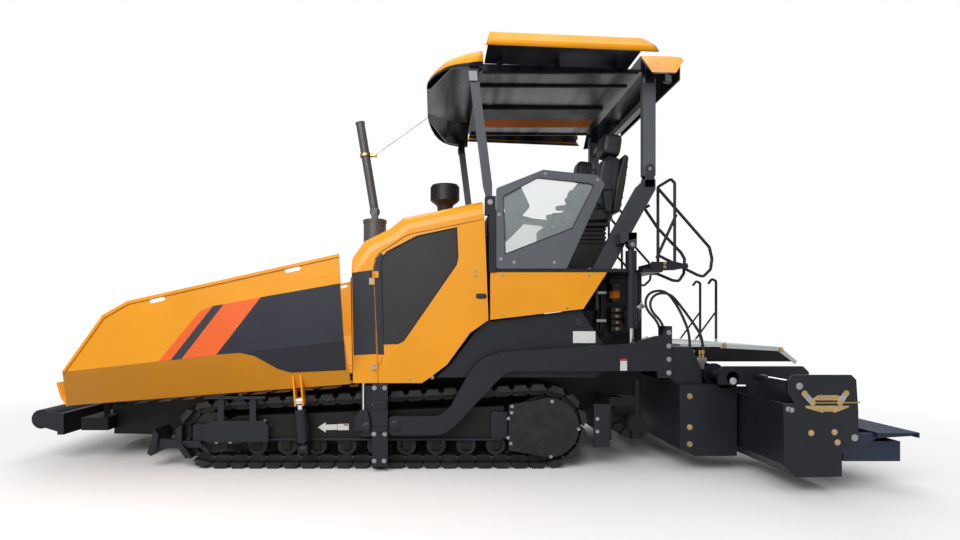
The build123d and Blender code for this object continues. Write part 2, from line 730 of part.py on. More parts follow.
# Auger box: gearbox hanger in the middle, shield in front, side plates
with BuildPart() as auger_box:
    block((1620, 2040), (-frame_side, frame_side), (610, 639.7))
    block((auger_x - 60, auger_x + 60), (-45, 45), (330, 610))
    bar_across(auger_x, auger_z, 100, -45, 45)
    block((1600, 1620), (-1130, 1130), (260, 639.7))
    for hand in (-1, 1):
        centre = hand * 1060
        block((auger_x - 20, auger_x + 20), (centre - 12, centre + 12), (auger_z, 800))
        bar_across(auger_x, auger_z, 80, centre - 12, centre + 12)
        block((1620, auger_x + 20), (centre - 12, centre + 12), (560, 639.7))
    mirror(about=Plane.XZ)
save(auger_box.part, "auger_box")

# Engine block on the main frame's cross members, side tanks, hood
with BuildPart() as engine_block:
    block((-420, 380), (-420, 420), (1000, 1780))
    for x in (-380, 250):
        block((x, x + 90), (-frame_side + frame_side_plate, frame_side - frame_side_plate), (930, 1010))
save(engine_block.part, "engine_block")

with BuildPart() as side_tanks:
    tank = [(20, 830), (160, 960), (365, 1230), (480, 1342), (530, 1342), (1335, 1440), (1545, 1125), (1545, 900), (1480, 830)]
    plate(tank, -1140, -frame_side)
    mirror(about=Plane.XZ)
save(side_tanks.part, "side_tanks")


hood_line = [(hood_front_x, hood_bottom_z), (-745, 1930), (-640, 2075), (-409, 2190), (-278, 2292), (186, 2388), (438, 2440),
             (455, 2268)]
hood_rear_foot = (490, 1352)
hood_lower_edge = [(324, 1235), (117, 950), (-36, 835), (-110, hood_bottom_z)]


def hood_roof(front, top, rear):
    """Corners of the hood's roof with the front, the top and the rear moved inward."""
    moves = [front] + [top] * (len(hood_line) - 3) + [rear]
    lines = []
    for (x0, z0), (x1, z1), move in zip(hood_line, hood_line[1:], moves):
        run = hypot(x1 - x0, z1 - z0)
        along = ((x1 - x0) / run, (z1 - z0) / run)
        lines.append((x0 + along[1] * move, z0 - along[0] * move, along))
    corners = []
    for (x0, z0, along), (x1, z1, after) in zip(lines, lines[1:]):
        cross = along[0] * after[1] - along[1] * after[0]
        reach = ((x1 - x0) * after[1] - (z1 - z0) * after[0]) / cross
        corners.append((x0 + along[0] * reach, z0 + along[1] * reach))
    return corners


def hood_shape(outer_half, radius, wall, mode):
    """Hood profile across the width, with its upper side edges rounded in four facets."""
    flat = outer_half - radius
    steps = []
    for number in range(5):
        turn = radians(22.5 * number)
        steps.append((flat + radius * sin(turn), wall + radius * (1 - cos(turn))))
    if wall:
        before = [(hood_front_x + wall, 600)]
        after = [(455 - wall, 2268), (hood_rear_foot[0] - wall, hood_rear_foot[1]), (hood_rear_foot[0] - wall, 600)]
    else:
        before = [(hood_front_x, hood_bottom_z)]
        after = [(455, 2268), hood_rear_foot] + hood_lower_edge
    plate(before + hood_roof(wall, wall, wall) + after, -flat, flat, mode)
    for hand in (-1, 1):
        for (y0, drop0), (y1, drop1) in zip(steps, steps[1:]):
            sections = []
            for y, drop in ((y0, drop0), (y1, drop1)):
                with BuildSketch(left(hand * y)) as section:
                    with BuildLine():
                        Polyline(*(before + hood_roof(wall, drop, wall) + after), close=True)
                    make_face()
                sections.append(section.sketch)
            loft(sections, ruled=True, mode=mode)


def below_hood():
    """Trims what stands on the hood to its top."""
    plate([(-900, 1500), (-900, 1780)] + hood_roof(0, 0, 0) + [(455, 1500)], -600, 600, Mode.SUBTRACT)


# The door runs from its hinge line back to the hood's rear edge.
door_front = [(-504, hood_bottom_z), (-552, 1802), (-529, 1908), (-486, 1963), (-409, 2012), (-268, 2105), (-202, 2132)]
door_hinge_low = (-514, 965)
door_hinge_high = (-541, 1730)
door_hinge_out = 12
knuckle_radius = 11
knuckle_length = 60
hinge_lean = (door_hinge_high[0] - door_hinge_low[0]) / (door_hinge_high[1] - door_hinge_low[1])

with BuildPart() as engine_hood:
    hood_shape(hood_half, hood_edge_radius, 0, Mode.ADD)
    hood_shape(hood_half - hood_wall, hood_edge_radius - hood_wall, hood_wall, Mode.SUBTRACT)
    tunnel = floor_height(hood_front_x) + tunnel_height
    block((-800, -650), (-floor_half, floor_half), (600, tunnel), Mode.SUBTRACT)
    opening = door_front + [(600, 2290), (600, 600), (-497, 600)]
    plate(opening, -hood_half - 10, -hood_half + hood_wall, Mode.SUBTRACT)
    plate(opening, hood_half - hood_wall, hood_half + 10, Mode.SUBTRACT)
    for x, z in (door_hinge_low, door_hinge_high):
        for hand in (-1, 1):
            y = hand * (hood_half + door_hinge_out)
            block((x - 42, x), (min(y, hand * hood_half), max(y, hand * hood_half)), (z - knuckle_length, z))
            bar_between((x - hinge_lean * knuckle_length, y, z - knuckle_length), (x, y, z), knuckle_radius)
save(engine_hood.part, "engine_hood")

# Hood doors with their mesh grilles
grille_outline = [(-478, 1865), (-468, 1915), (-420, 1968), (-150, 2108), (205, 2185), (215, 1920), (200, 1850),
                  (-270, 1170), (-320, 1140), (-455, 1135)]
door_gap = 5
with BuildPart() as door_left:
    leaf = [(-504 + door_gap, hood_bottom_z)]
    leaf += [(x + door_gap, z - door_gap) for x, z in door_front[1:]]
    leaf += [(455, 2256), hood_rear_foot] + hood_lower_edge
    plate(leaf, -hood_half, -hood_half + door_thickness)
    plate(grille_outline, -hood_half - 10, -hood_half + 100, Mode.SUBTRACT)
    for x, z in (door_hinge_low, door_hinge_high):
        y = -hood_half - door_hinge_out
        block((x, x + 42), (y, -hood_half), (z + 2, z + knuckle_length))
        bar_between((x + hinge_lean * 2, y, z + 2), (x + hinge_lean * knuckle_length, y, z + knuckle_length), knuckle_radius)
save_pair(door_left.part, "door")

slot_rows = 17
slot_pitch = 50
slot_height = 26
slot_gap = 20
with BuildPart() as grille_left:
    plate(grille_outline, -hood_half + 5, -hood_half + 13)
    for row in range(slot_rows):
        z = 1190 + row * slot_pitch
        start = max(-430, -440 + max(0, z - 1900) * 1.9)
        stop = min(185, -270 + (z - 1170) * 0.69)
        count = int((stop - start) / 150) + 1
        width = (stop - start - (count - 1) * slot_gap) / count
        for number in range(count):
            x = start + number * (width + slot_gap)
            block((x, x + width), (-hood_half, -hood_half + 20), (z, z + slot_height), Mode.SUBTRACT)
save_pair(grille_left.part, "grille")

# Exhaust: base stack on the hood, folding pipe
exhaust_x = -622
exhaust_y = -300
stack_radius = 118
stack_top = 2400
elbow_z = 2486
pipe_radius = 46
pipe_length = 955
pipe_lean = 9.4
with BuildPart() as exhaust_stack:
    bar_between((exhaust_x, exhaust_y, 2000), (exhaust_x, exhaust_y, stack_top), stack_radius)
    below_hood()
    for side in (-72, 58):
        block((exhaust_x - 30, exhaust_x + 30), (exhaust_y + side, exhaust_y + side + 14), (stack_top, elbow_z + 30))
    bar_across(exhaust_x, elbow_z, 10, exhaust_y - 72, exhaust_y + 72)
save(exhaust_stack.part, "exhaust_stack")

pipe_up = Vector(-sin(radians(pipe_lean)), 0, cos(radians(pipe_lean)))
elbow = Vector(exhaust_x, exhaust_y, elbow_z)
with BuildPart() as exhaust_pipe:
    with Locations(elbow):
        Sphere(54)
    bar_between(elbow, elbow + pipe_up * pipe_length, pipe_radius)
    bar_between(elbow + pipe_up * 60, elbow + pipe_up * (pipe_length + 50), pipe_radius - 4, Mode.SUBTRACT)
    with BuildSketch(Plane(origin=elbow + pipe_up * 585, z_dir=pipe_up)) as clamp:
        Circle(pipe_radius + 9)
        Circle(pipe_radius - 2, mode=Mode.SUBTRACT)
    extrude(clamp.sketch, amount=36)
    bar_across(exhaust_x, elbow_z, 10 + pin_fit, exhaust_y - 90, exhaust_y + 90, Mode.SUBTRACT)
save(exhaust_pipe.part, "exhaust_pipe")

# Air precleaner on its intake tube
cleaner_x = 121
cleaner_radius = 150
with BuildPart() as air_precleaner:
    bar_between((cleaner_x, 0, 2300), (cleaner_x, 0, 2690), 85)
    below_hood()
    bar_between((cleaner_x, 0, 2670), (cleaner_x, 0, 2700), cleaner_radius + 12)
    bar_between((cleaner_x, 0, 2700), (cleaner_x, 0, 2850), cleaner_radius)
save(air_precleaner.part, "air_precleaner")

# Operator's deck, side panels, brackets of the front posts
with BuildPart() as operator_deck:
    block((deck_front_x, deck_rear_x), (-deck_half, deck_half), (deck_z, deck_z + deck_plate))
    block((deck_front_x, deck_front_x + 20), (-1120, 1120), (1342, deck_z))
    block((1480, 1500), (-1120, 1120), (1445, deck_z))
    for near in (-frame_side, frame_side - frame_side_plate):
        plate([(1560, 1120), (2040, 1290), (2040, deck_z), (1560, deck_z)], near, near + frame_side_plate)
    # Room for the lift cylinders at the deck's edges.
    for hand in (-1, 1):
        edge = sorted((hand * 1020, hand * 1300))
        block((lift_pin_x - 70, lift_pin_x + 70), edge, (deck_z - 10, deck_z + deck_plate + 10), Mode.SUBTRACT)
    seat_top = deck_z + deck_plate
    bracket = [(497, seat_top), (555, seat_top), (555, 2466), (460, 2466), (460, 2300), (497, 2300)]
    for hand in (-1, 1):
        for side in (-1, 1):
            ear = sorted(hand * front_post_y + side * (front_post_depth / 2 + post_side_gap + step) for step in (0, post_ear))
            plate(bracket, *ear)
        reach = front_post_depth / 2 + post_side_gap + post_ear
        block((530, 555), (hand * front_post_y - reach, hand * front_post_y + reach), (seat_top, 2300))
        bar_across(front_pivot_x, front_pivot_z, post_pin_radius, hand * front_post_y - reach - 3, hand * front_post_y + reach + 3)
        block((deck_front_x - 8, deck_front_x + 50), (hand * front_post_y - reach, hand * front_post_y + reach),
              (seat_top - deck_plate, seat_top))
save(operator_deck.part, "operator_deck")

with BuildPart() as deck_side_panels:
    panel = [(508, 1354), (1345, 1452), (1560, deck_z), (508, deck_z)]
    plate(panel, -1195, -1160)
    mirror(about=Plane.XZ)
save(deck_side_panels.part, "deck_side_panels")

# Side screens: steel frames, then the panes in them
screen_frame = [(560, deck_z + deck_plate), (560, 2535), (981, 2702), (1467, 2652), (1535, 2572), (1190, deck_z + deck_plate)]
screen_pane = [(640, 1945), (620, 2463), (927, 2627), (1390, 2580), (1434, 2560), (1241, 2177)]
with BuildPart() as side_screens:
    rounded_plate(screen_frame, 20, -screen_y - 12, -screen_y + 12)
    plate(screen_pane, -screen_y - 30, -screen_y + 50, Mode.SUBTRACT)
    mirror(about=Plane.XZ)
save(side_screens.part, "side_screens")

with BuildPart() as screen_glass:
    plate(screen_pane, -screen_y - 4, -screen_y - 4 + glass_thickness)
    mirror(about=Plane.XZ)
save(screen_glass.part, "screen_glass")

# Seats and control desk
with BuildPart() as seats:
    for centre in (-520, 520):
        block((1345, 1715), (centre - 190, centre + 190), (seat_top, 2300))
        rounded_plate([(1250, 2290), (1250, 2410), (1740, 2440), (1765, 2290)], 40, centre - 250, centre + 250)
        rounded_plate([(1600, 2425), (1755, 2405), (1845, 2960), (1690, 2965)], 30, centre - 240, centre + 240)
        rounded_plate([(1670, 2992), (1850, 2985), (1890, 3190), (1695, 3215)], 30, centre - 140, centre + 140)
        for side in (-80, 60):
            block((1755, 1785), (centre + side, centre + side + 20), (2930, 3020))
save(seats.part, "seats")

with BuildPart() as control_desk:
    desk = [(530, seat_top), (530, 2440), (640, 2620), (820, 2560), (900, 2380), (780, 2150), (700, seat_top)]
    plate(desk, -420, 420)
save(control_desk.part, "control_desk")

# Canopy pillars: fixed lower rear posts, with lugs for the lift cylinders
pillar_y = (-rear_post_y - rear_post_depth / 2, -rear_post_y + rear_post_depth / 2)
pillar_top = 2670
ear_reach = post_side_gap + post_ear
with BuildPart() as canopy_pillars:
    half = rear_post_width / 2
    lower = [(rear_pivot_x - half, pillar_top), (rear_pivot_x - half, 2590), (1680, seat_top), (1830, seat_top),
             (rear_pivot_x + half, 2550), (rear_pivot_x + half, pillar_top)]
    plate(lower, *pillar_y)
    block((rear_pivot_x - 45, rear_pivot_x + 45), (pillar_y[0] - ear_reach, pillar_y[1] + ear_reach), (2600, pillar_top - 5))
    for near in (pillar_y[0] - ear_reach, pillar_y[1] + post_side_gap):
        block((rear_pivot_x - 45, rear_pivot_x + 45), (near, near + post_ear), (2600, rear_pivot_z + 45))
    bar_across(rear_pivot_x, rear_pivot_z, post_pin_radius, pillar_y[0] - ear_reach - 3, pillar_y[1] + ear_reach + 3)
    block((1790, 1850), (-lift_y - 45, pillar_y[0]), (2095, 2150))
    for near in (-lift_y - 45, -lift_y + 33):
        block((lift_pin_x - 40, lift_pin_x + 40), (near, near + 12), (lift_pin_z - 30, 2150))
    bar_across(lift_pin_x, lift_pin_z, lift_pin_radius, -lift_y - 47, -lift_y + 45)
    mirror(about=Plane.XZ)
save(canopy_pillars.part, "canopy_pillars")

# Upper rear posts, folding forward on the pillars
with BuildPart() as rear_posts:
    plate([(rear_pivot_x - half, rear_pivot_z - 60), (rear_pivot_x + half, rear_pivot_z - 60),
           (rear_pivot_x + half, roof_pivot_z), (rear_pivot_x - half, roof_pivot_z)], *pillar_y)
    bar_across(rear_pivot_x, roof_pivot_z, half, *pillar_y)
    mirror(about=Plane.XZ)
    block((rear_pivot_x - 30, rear_pivot_x + 30), (pillar_y[1] - 2, -pillar_y[1] + 2), (3400, 3460))
    bar_across(rear_pivot_x, rear_pivot_z, post_pin_radius + pin_fit, -1100, 1100, Mode.SUBTRACT)
    bar_across(rear_pivot_x, roof_pivot_z, post_pin_radius + pin_fit, -1100, 1100, Mode.SUBTRACT)
save(rear_posts.part, "rear_posts")

# Front posts, narrower at the foot
front_post_run = hypot(front_top_x - front_pivot_x, front_top_z - front_pivot_z)
post_up = ((front_top_x - front_pivot_x) / front_post_run, (front_top_z - front_pivot_z) / front_post_run)


def post_point(along, across):
    """Point (x, z) on the front post: along it from the lower pin, across it to the rear."""
    return (front_pivot_x + along * post_up[0] + across * post_up[1], front_pivot_z + along * post_up[1] - across * post_up[0])


with BuildPart() as front_posts:
    foot = front_post_foot_width / 2
    wide = front_post_width / 2
    outline = [post_point(-foot, -foot), post_point(-foot, foot), post_point(40, foot), post_point(160, wide)]
    # The upper end is an open saddle under the roof's pin.
    outline += [post_point(front_post_run, wide), post_point(front_post_run, -wide), post_point(160, -wide)]
    outline += [post_point(40, -foot)]
    plate(outline, -front_post_y - front_post_depth / 2, -front_post_y + front_post_depth / 2)
    mirror(about=Plane.XZ)
    bar_across(front_pivot_x, front_pivot_z, post_pin_radius + pin_fit, -1300, 1300, Mode.SUBTRACT)
    bar_across(front_top_x, front_top_z, post_pin_radius + 4, -1300, 1300, Mode.SUBTRACT)
save(front_posts.part, "front_posts")


# Canopy roof: front and rear caps as bent sheets, centre bay with rails for the awnings
def cap_section(x, shoulder, shoulder_z, eave, eave_z):
    """Thin bent sheet across the roof at one station."""
    drop = shoulder_z - eave_z
    slope = hypot(eave - shoulder, drop)
    side_shift = roof_sheet * slope / drop
    knee = roof_sheet * (slope - (eave - shoulder)) / drop
    outside = [(-eave, eave_z), (-shoulder, shoulder_z), (shoulder, shoulder_z), (eave, eave_z)]
    inside = [(eave - side_shift, eave_z), (shoulder - knee, shoulder_z - roof_sheet)]
    inside += [(-shoulder + knee, shoulder_z - roof_sheet), (-eave + side_shift, eave_z)]
    with BuildSketch(Plane.YZ.offset(x)) as section:
        with BuildLine():
            Polyline(*(outside + inside), close=True)
        make_face()
    return section.sketch


front_cap = [(bay_front_x, 950, 3850, 1250, 3620), (160, 750, 3820, 1170, 3640), (-70, 350, 3760, 420, 3700)]
rear_cap = [(bay_rear_x, 930, 3850, 1220, 3575), (2200, 920, 3850, 1150, 3600), (2350, 900, 3850, 950, 3790)]


def awning_underside(x):
    """Underside of the awning sheets, falling to the rear."""
    return 3832 - (x - 487) * 60 / 1383


with BuildPart() as canopy_roof:
    for cap in (front_cap, rear_cap):
        for here, there in zip(cap, cap[1:]):
            loft([cap_section(*here), cap_section(*there)], ruled=True)
    block((-70, -55), (-352, 352), (3700, 3755))
    block((2335, 2350), (-880, 880), (3640, 3845))
    # Centre bay between two cross walls.
    block((bay_front_x - 15, bay_front_x), (-950, 950), (3690, 3840))
    block((bay_rear_x, bay_rear_x + 15), (-930, 930), (3690, 3840))
    plate([(bay_front_x, 3700), (bay_front_x, 3712), (bay_rear_x, 3702), (bay_rear_x, 3690)], -950, 950)
    rail = [(bay_front_x, 3700), (bay_front_x, 3767), (bay_rear_x, 3712), (bay_rear_x, 3690)]
    for near in (-950, 880):
        plate(rail, near, near + 70)
    for x in (620, 1160, 1700):
        top = awning_underside(x + 25) - seat_gap
        block((x - 25, x + 25), (-950, 950), (3695, top))
    for hand in (-1, 1):
        # Ears for the rear posts and the front posts.
        for low, high, top in ((901, 913, 3838), (987, 999, 3768)):
            block((rear_pivot_x - 40, rear_pivot_x + 40), sorted((hand * low, hand * high)), (roof_pivot_z - 40, top))
        bar_across(rear_pivot_x, roof_pivot_z, post_pin_radius, min(hand * 899, hand * 1001), max(hand * 899, hand * 1001))
        for low, high, top in ((1136, 1148, 3668), (1202, 1214, 3630)):
            block((front_top_x - 40, front_top_x + 40), sorted((hand * low, hand * high)), (front_top_z - 38, top))
        bar_across(front_top_x, front_top_z, post_pin_radius, min(hand * 1134, hand * 1216), max(hand * 1134, hand * 1216))
save(canopy_roof.part, "canopy_roof")

# Awnings, sliding out to the sides over the bay
with BuildPart() as awning_left:
    rounded_plate([(447, 3737), (488, 3850), (1870, 3790), (1947, 3675)], 20, -1410, -1396)
    sheet = [(487, awning_underside(487)), (487, 3850), (1870, 3790), (1870, awning_underside(1870))]
    plate(sheet, -1398, -800)
save_pair(awning_left.part, "awning")

# Lift cylinders: barrels hang from the pillars, pistons in them, rods stand on the tow arms
lift_pin = Vector(lift_pin_x, -lift_y, lift_pin_z)
lift_foot = Vector(lift_pin_x, -lift_y, lift_rod_end_z)
with BuildPart() as lift_barrels:
    bar_between(lift_pin, (lift_pin_x, -lift_y, lift_pin_z - 70), 28)
    bar_between((lift_pin_x, -lift_y, lift_pin_z - 55), (lift_pin_x, -lift_y, lift_barrel_low), lift_barrel_radius)
    bar_between((lift_pin_x, -lift_y, lift_pin_z - 75), (lift_pin_x, -lift_y, lift_barrel_low + 40), lift_bore_radius, Mode.SUBTRACT)
    bar_between((lift_pin_x, -lift_y, lift_barrel_low + 60), (lift_pin_x, -lift_y, lift_barrel_low - 20),
                lift_rod_radius + pin_fit, Mode.SUBTRACT)
    eye(lift_pin, Vector(0, 1, 0), lift_eye_radius, lift_pin_radius + pin_fit, lift_eye_width)
    mirror(about=Plane.XZ)
save(lift_barrels.part, "lift_barrels")

with BuildPart() as lift_pistons:
    bar_between((lift_pin_x, -lift_y, 1700), (lift_pin_x, -lift_y, 1750), lift_bore_radius - pin_fit)
    bar_between((lift_pin_x, -lift_y, 1690), (lift_pin_x, -lift_y, 1760), lift_rod_radius + pin_fit, Mode.SUBTRACT)
    mirror(about=Plane.XZ)
save(lift_pistons.part, "lift_pistons")

with BuildPart() as lift_rods:
    bar_between((lift_pin_x, -lift_y, lift_rod_top), lift_foot, lift_rod_radius)
    eye(lift_foot, Vector(0, 1, 0), 37, lift_pin_radius + 4, 40)
    mirror(about=Plane.XZ)
save(lift_rods.part, "lift_rods")

# Handrails and step plates behind the deck
rail_radius = 14
rail_y = -800
with BuildPart() as deck_handrails:
    block((deck_rear_x, 2414), (-900, -560), (1850, 1890))
    block((deck_rear_x, deck_rear_x + 15), (-900, -560), (deck_z, 1890))
    hoop = [(2167, 1870), (2167, 2638), (2293, 2715), (2329, 2676), (2329, 1870)]
    bent_tube([(x, rail_y, z) for x, z in hoop], 20, rail_radius)
    outer_rail = [(2167, 2625), (2309, 2462), (2665, 2054), (2690, 1942), (2676, 1840), (2604, 1769), (2543, 1789), (2167, 1978)]
    bent_tube([(x, rail_y, z) for x, z in outer_rail], 40, rail_radius)
    inner_rail = [(2030, 2441), (2167, 2237), (2390, 2003), (2425, 1942), (2417, 1800), (2370, 1728), (2309, 1734), (2156, 1799)]
    inner_rail += [(deck_rear_x, 1799)]
    bent_tube([(x, rail_y, z) for x, z in inner_rail], 30, rail_radius)
    bar_between((2344, rail_y, 2370), (2155, rail_y, 1950), rail_radius)
    bar_between((2035, rail_y + 5, 2434), (2035, pillar_y[1], 2434), rail_radius)
    mirror(about=Plane.XZ)
save(deck_handrails.part, "deck_handrails")

# Main screed: two hollow half boxes with end plates, which meet at the crown joint; a long window in each top
with BuildPart() as main_screed:
    side = [(screed_front_x, screed_top), (screed_front_x, 199), (2324, screed_bottom), (screed_rear_x, screed_bottom),
            (screed_rear_x, screed_top)]
    plate(side, -screed_half, screed_half)
    cavity = [(screed_front_x + screed_wall, screed_top - 15), (2480, screed_top - 15), (2480, screed_top + 25),
              (screed_rear_x - screed_wall, screed_top + 25), (screed_rear_x - screed_wall, screed_bottom + 30),
              (2332, screed_bottom + 30), (screed_front_x + screed_wall, 206)]
    plate(cavity, -screed_half + screed_wall, -15, Mode.SUBTRACT)
    plate(cavity, 15, screed_half - screed_wall, Mode.SUBTRACT)
    block((screed_front_x - 10, screed_rear_x + 10), (-crown_gap / 2, crown_gap / 2), (screed_bottom - 10, screed_top + 10), Mode.SUBTRACT)
    for near in (-860, 15):
        block((screed_front_x + screed_wall, 2400), (near, near + 845), (screed_top - 40, screed_top + 10), Mode.SUBTRACT)
    # Room for the housing in the middle walls, and notches in the end plates, which the tubes' collars pass.
    bar_across(guide_axis_x, guide_axis_z, housing_radius + seat_gap, -20, 20, Mode.SUBTRACT)
    for near in (-screed_half - 10, screed_half - screed_wall - 10):
        bar_across(guide_axis_x, guide_axis_z, middle_tube_radius + 16, near, near + screed_wall + 20, Mode.SUBTRACT)
save(main_screed.part, "main_screed")

# Housing of the guide tubes, on two brackets that stand on the box
with BuildPart() as screed_housing:
    bracket = [(2410, screed_top), (screed_rear_x, screed_top), (2690, guide_axis_z), (2510, guide_axis_z), (2430, 800)]
    for near in (-660, 600):
        plate(bracket, near, near + 60)
    for near in (-640, 560):
        block((guide_axis_x, guide_axis_x + 80), (near, near + 80), (guide_axis_z, 975))
    bar_across(guide_axis_x, guide_axis_z, housing_radius, -housing_half, housing_half)
    bar_across(guide_axis_x, guide_axis_z, middle_tube_radius + seat_gap, -housing_half - 10, housing_half + 10, Mode.SUBTRACT)
save(screed_housing.part, "screed_housing")

# Screed covers with the rear guard rails
with BuildPart() as screed_covers:
    block((2300, 2690), (-1000, 1000), (1100, 1125))
    sheet = [(2680, 1130), (3231, 1100), (3390, 968), (3381, 958), (3225, 1087), (2680, 1116)]
    plate(sheet, -1000, 1000)
    flange = [(2680, 1130), (3231, 1100), (3390, 968), (3375, 940), (3215, 1062), (2680, 1090)]
    for near in (-1000, 988):
        plate(flange, near, near + 12)
    for near in (-960, 900):
        block((2300, 2420), (near, near + 60), (screed_top, 1100))
    for near in (-640, 560):
        block((guide_axis_x, guide_axis_x + 80), (near, near + 80), (975, 1118))
    for y in (200, 600):
        bent_tube([(3208, y, 1095), (3208, y, 1790), (3160, y, 1815), (3120, y, 1760)], 20, rail_radius)
        bar_between((3205, y, 1440), (2960, y, 1108), 10)
save(screed_covers.part, "screed_covers")

# Guide tubes of the extensions: middle tubes with a collar
with BuildPart() as screed_tube_left:
    bar_across(guide_axis_x, guide_axis_z, middle_tube_radius, -1030, -350)
    bar_across(guide_axis_x, guide_axis_z, middle_tube_radius + 10, -1030, -1012)
    bar_across(guide_axis_x, guide_axis_z, inner_tube_radius + seat_gap, -1040, -340, Mode.SUBTRACT)
save_pair(screed_tube_left.part, "screed_tube")

# Screed extensions: open box with a thick sole, support plate, inner guide tube and a chrome rod
with BuildPart() as extension_left:
    near = extension_end_y
    far = near + extension_length
    side = [(extension_front_x, extension_top), (extension_front_x, 221), (2808, extension_bottom), (extension_rear_x, extension_bottom),
            (extension_rear_x, extension_top)]
    plate(side, near, far)
    cavity = [(extension_front_x + extension_wall, extension_top + 50), (extension_front_x + extension_wall, 228),
              (2815, extension_bottom + 25), (extension_rear_x - extension_wall, extension_bottom + 25),
              (extension_rear_x - extension_wall, extension_top + 50)]
    plate(cavity, near + extension_wall, far - extension_wall, Mode.SUBTRACT)
    support = [(2470, 790), (2722, 790), (2737, 690), (2760, 600), (3160, 600), (3175, 690), (3260, 700), (3260, 900), (3210, 950),
               (2520, 950), (2470, 900)]
    rounded_plate(support, 10, -1380, -1355)
    bar_across(guide_axis_x, guide_axis_z, inner_tube_radius, -1360, -700)
    bar_across(guide_axis_x, guide_axis_z, inner_tube_radius - 15, -1400, -690, Mode.SUBTRACT)
    bar_across(2800, 865, 16, near, -1360)
save_pair(extension_left.part, "extension")

with BuildPart() as end_gate_left:
    gate = [(2710, 705), (2720, 221), (2808, 131), (3165, 140), (3165, 380), (3215, 380), (3293, 400), (3293, 648), (3277, 890),
            (3240, 928), (2790, 928), (2743, 880), (2743, 800), (2800, 700)]
    plate(gate, -gate_outer, extension_end_y)
save_pair(end_gate_left.part, "end_gate")

# Walkway behind the extension, with a box below it
with BuildPart() as walkway_left:
    near = -1880
    far = -900
    block((3480, 3810), (near, far), (458, 470))
    block((3480, 3492), (near, far), (430, 470))
    block((3798, 3810), (near, far), (430, 470))
    for y in (-1850, -1400, -950):
        plate([(extension_rear_x, 300), (3300, 300), (3490, 420), (3800, 440), (3800, 460), (extension_rear_x, 460)], y, y + 20)
    block((3300, 3760), (-1750, -950), (215, 376))
    block((3315, 3745), (-1735, -965), (230, 400), Mode.SUBTRACT)
    plate([(3300, 300), (3300, 376), (3490, 376), (3490, 300)], -1755, -1735)
    for y in (-1400, -950):
        plate([(3290, 300), (3700, 300), (3700, 450), (3290, 450)], y, y + 20)
save_pair(walkway_left.part, "walkway")
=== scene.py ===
"""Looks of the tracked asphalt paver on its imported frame. Metres, X to the rear, Z up, left side at -Y."""

import math

import bmesh
import bpy
from mathutils import Matrix, Vector


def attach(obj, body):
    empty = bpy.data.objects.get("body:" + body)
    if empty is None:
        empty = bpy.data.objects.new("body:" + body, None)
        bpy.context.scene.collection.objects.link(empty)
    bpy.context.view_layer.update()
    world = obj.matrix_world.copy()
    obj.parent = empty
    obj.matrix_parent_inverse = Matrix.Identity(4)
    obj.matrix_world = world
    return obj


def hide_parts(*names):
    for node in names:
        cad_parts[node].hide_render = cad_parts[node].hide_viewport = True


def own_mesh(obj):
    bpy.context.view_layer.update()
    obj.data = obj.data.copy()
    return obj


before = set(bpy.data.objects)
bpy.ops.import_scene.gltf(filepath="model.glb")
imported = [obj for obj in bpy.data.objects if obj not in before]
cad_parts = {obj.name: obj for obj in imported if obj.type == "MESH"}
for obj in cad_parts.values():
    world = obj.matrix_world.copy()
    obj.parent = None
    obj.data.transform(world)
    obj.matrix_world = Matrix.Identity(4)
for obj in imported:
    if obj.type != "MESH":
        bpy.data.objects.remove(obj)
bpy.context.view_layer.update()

# Eye of the photograph, in front of the left side, and its picture
EYE_Y = -6.5
EYE_Z = 1.37
FOCAL = 589.0
CENTRE = (434.0, 318.0)
PICTURE = (960, 540)
SENSOR = 36

# Outer faces, as distances from the middle plane, and the top of the deck's floor
WING = 1.4
WING_FOOT = 1.18
HOOD = 1.2
TANK = 1.14
TRACK_SIDE = 1.085
ADJUSTER = 1.1
HEEL = 1.232
GUIDE = 1.262
SCREED = 1.25
GATE = 1.93
DECK = 1.814

# Places along the machine where the roof's colours change, and the same for the awnings and the covers
ROOF_FRONT = -0.06
CAP_SEAM = 1.9555
ROOF_REAR = 2.342
AWNING_BAND = 1.39
RAIL_FOOT = 1.135

# Slanting lines in side view, as (x, z, slope)
CREASE = (-3.218, 0.902, 0.1115)
WING_EDGE = (-3.318, 0.579, (0.774 - 0.579) / (3.318 - 0.752))
HOOD_TOP = (-0.278, 2.292, 96 / 464)
WINDOW_FOOT = (-0.27, 1.18, 1.447)
WINDOW_FRONT = (-0.42, 1.968, 0.5185)
WINDOW_REAR = (-0.15, 2.108, 0.217)

SIDES = (("left", -1), ("right", 1))


def seen(px, py, y):
    """X and Z of the point at depth y that stands at a place of the 960 x 540 picture."""
    d = y - EYE_Y
    return ((px - CENTRE[0]) * d / FOCAL, EYE_Z - (py - CENTRE[1]) * d / FOCAL)


def picked(places, y):
    """Places of the picture turned to (x, z) on the left plane at -y."""
    return [seen(px, py, -y) for px, py in places]


def height_at(x, line):
    start_x, start_z, slope = line
    return start_z + (x - start_x) * slope


# Camera
camera_data = bpy.data.cameras.new("camera")
camera_data.lens = SENSOR * FOCAL / PICTURE[0]
camera_data.sensor_width = SENSOR
camera_data.shift_x = (PICTURE[0] / 2 - CENTRE[0]) / PICTURE[0]
camera_data.shift_y = (CENTRE[1] - PICTURE[1] / 2) / PICTURE[0]
camera = bpy.data.objects.new("camera", camera_data)
camera.location = (0, EYE_Y, EYE_Z)
camera.rotation_euler = (math.radians(90), 0, 0)
bpy.context.scene.collection.objects.link(camera)
bpy.context.scene.camera = camera
bpy.context.scene.view_settings.view_transform = "Standard"


# Materials
def linear(r, g, b):
    """Linear colour from 8-bit picture values."""
    out = []
    for c in (r, g, b):
        c /= 255
        out.append(c / 12.92 if c <= 0.04045 else ((c + 0.055) / 1.055) ** 2.4)
    return (*out, 1)


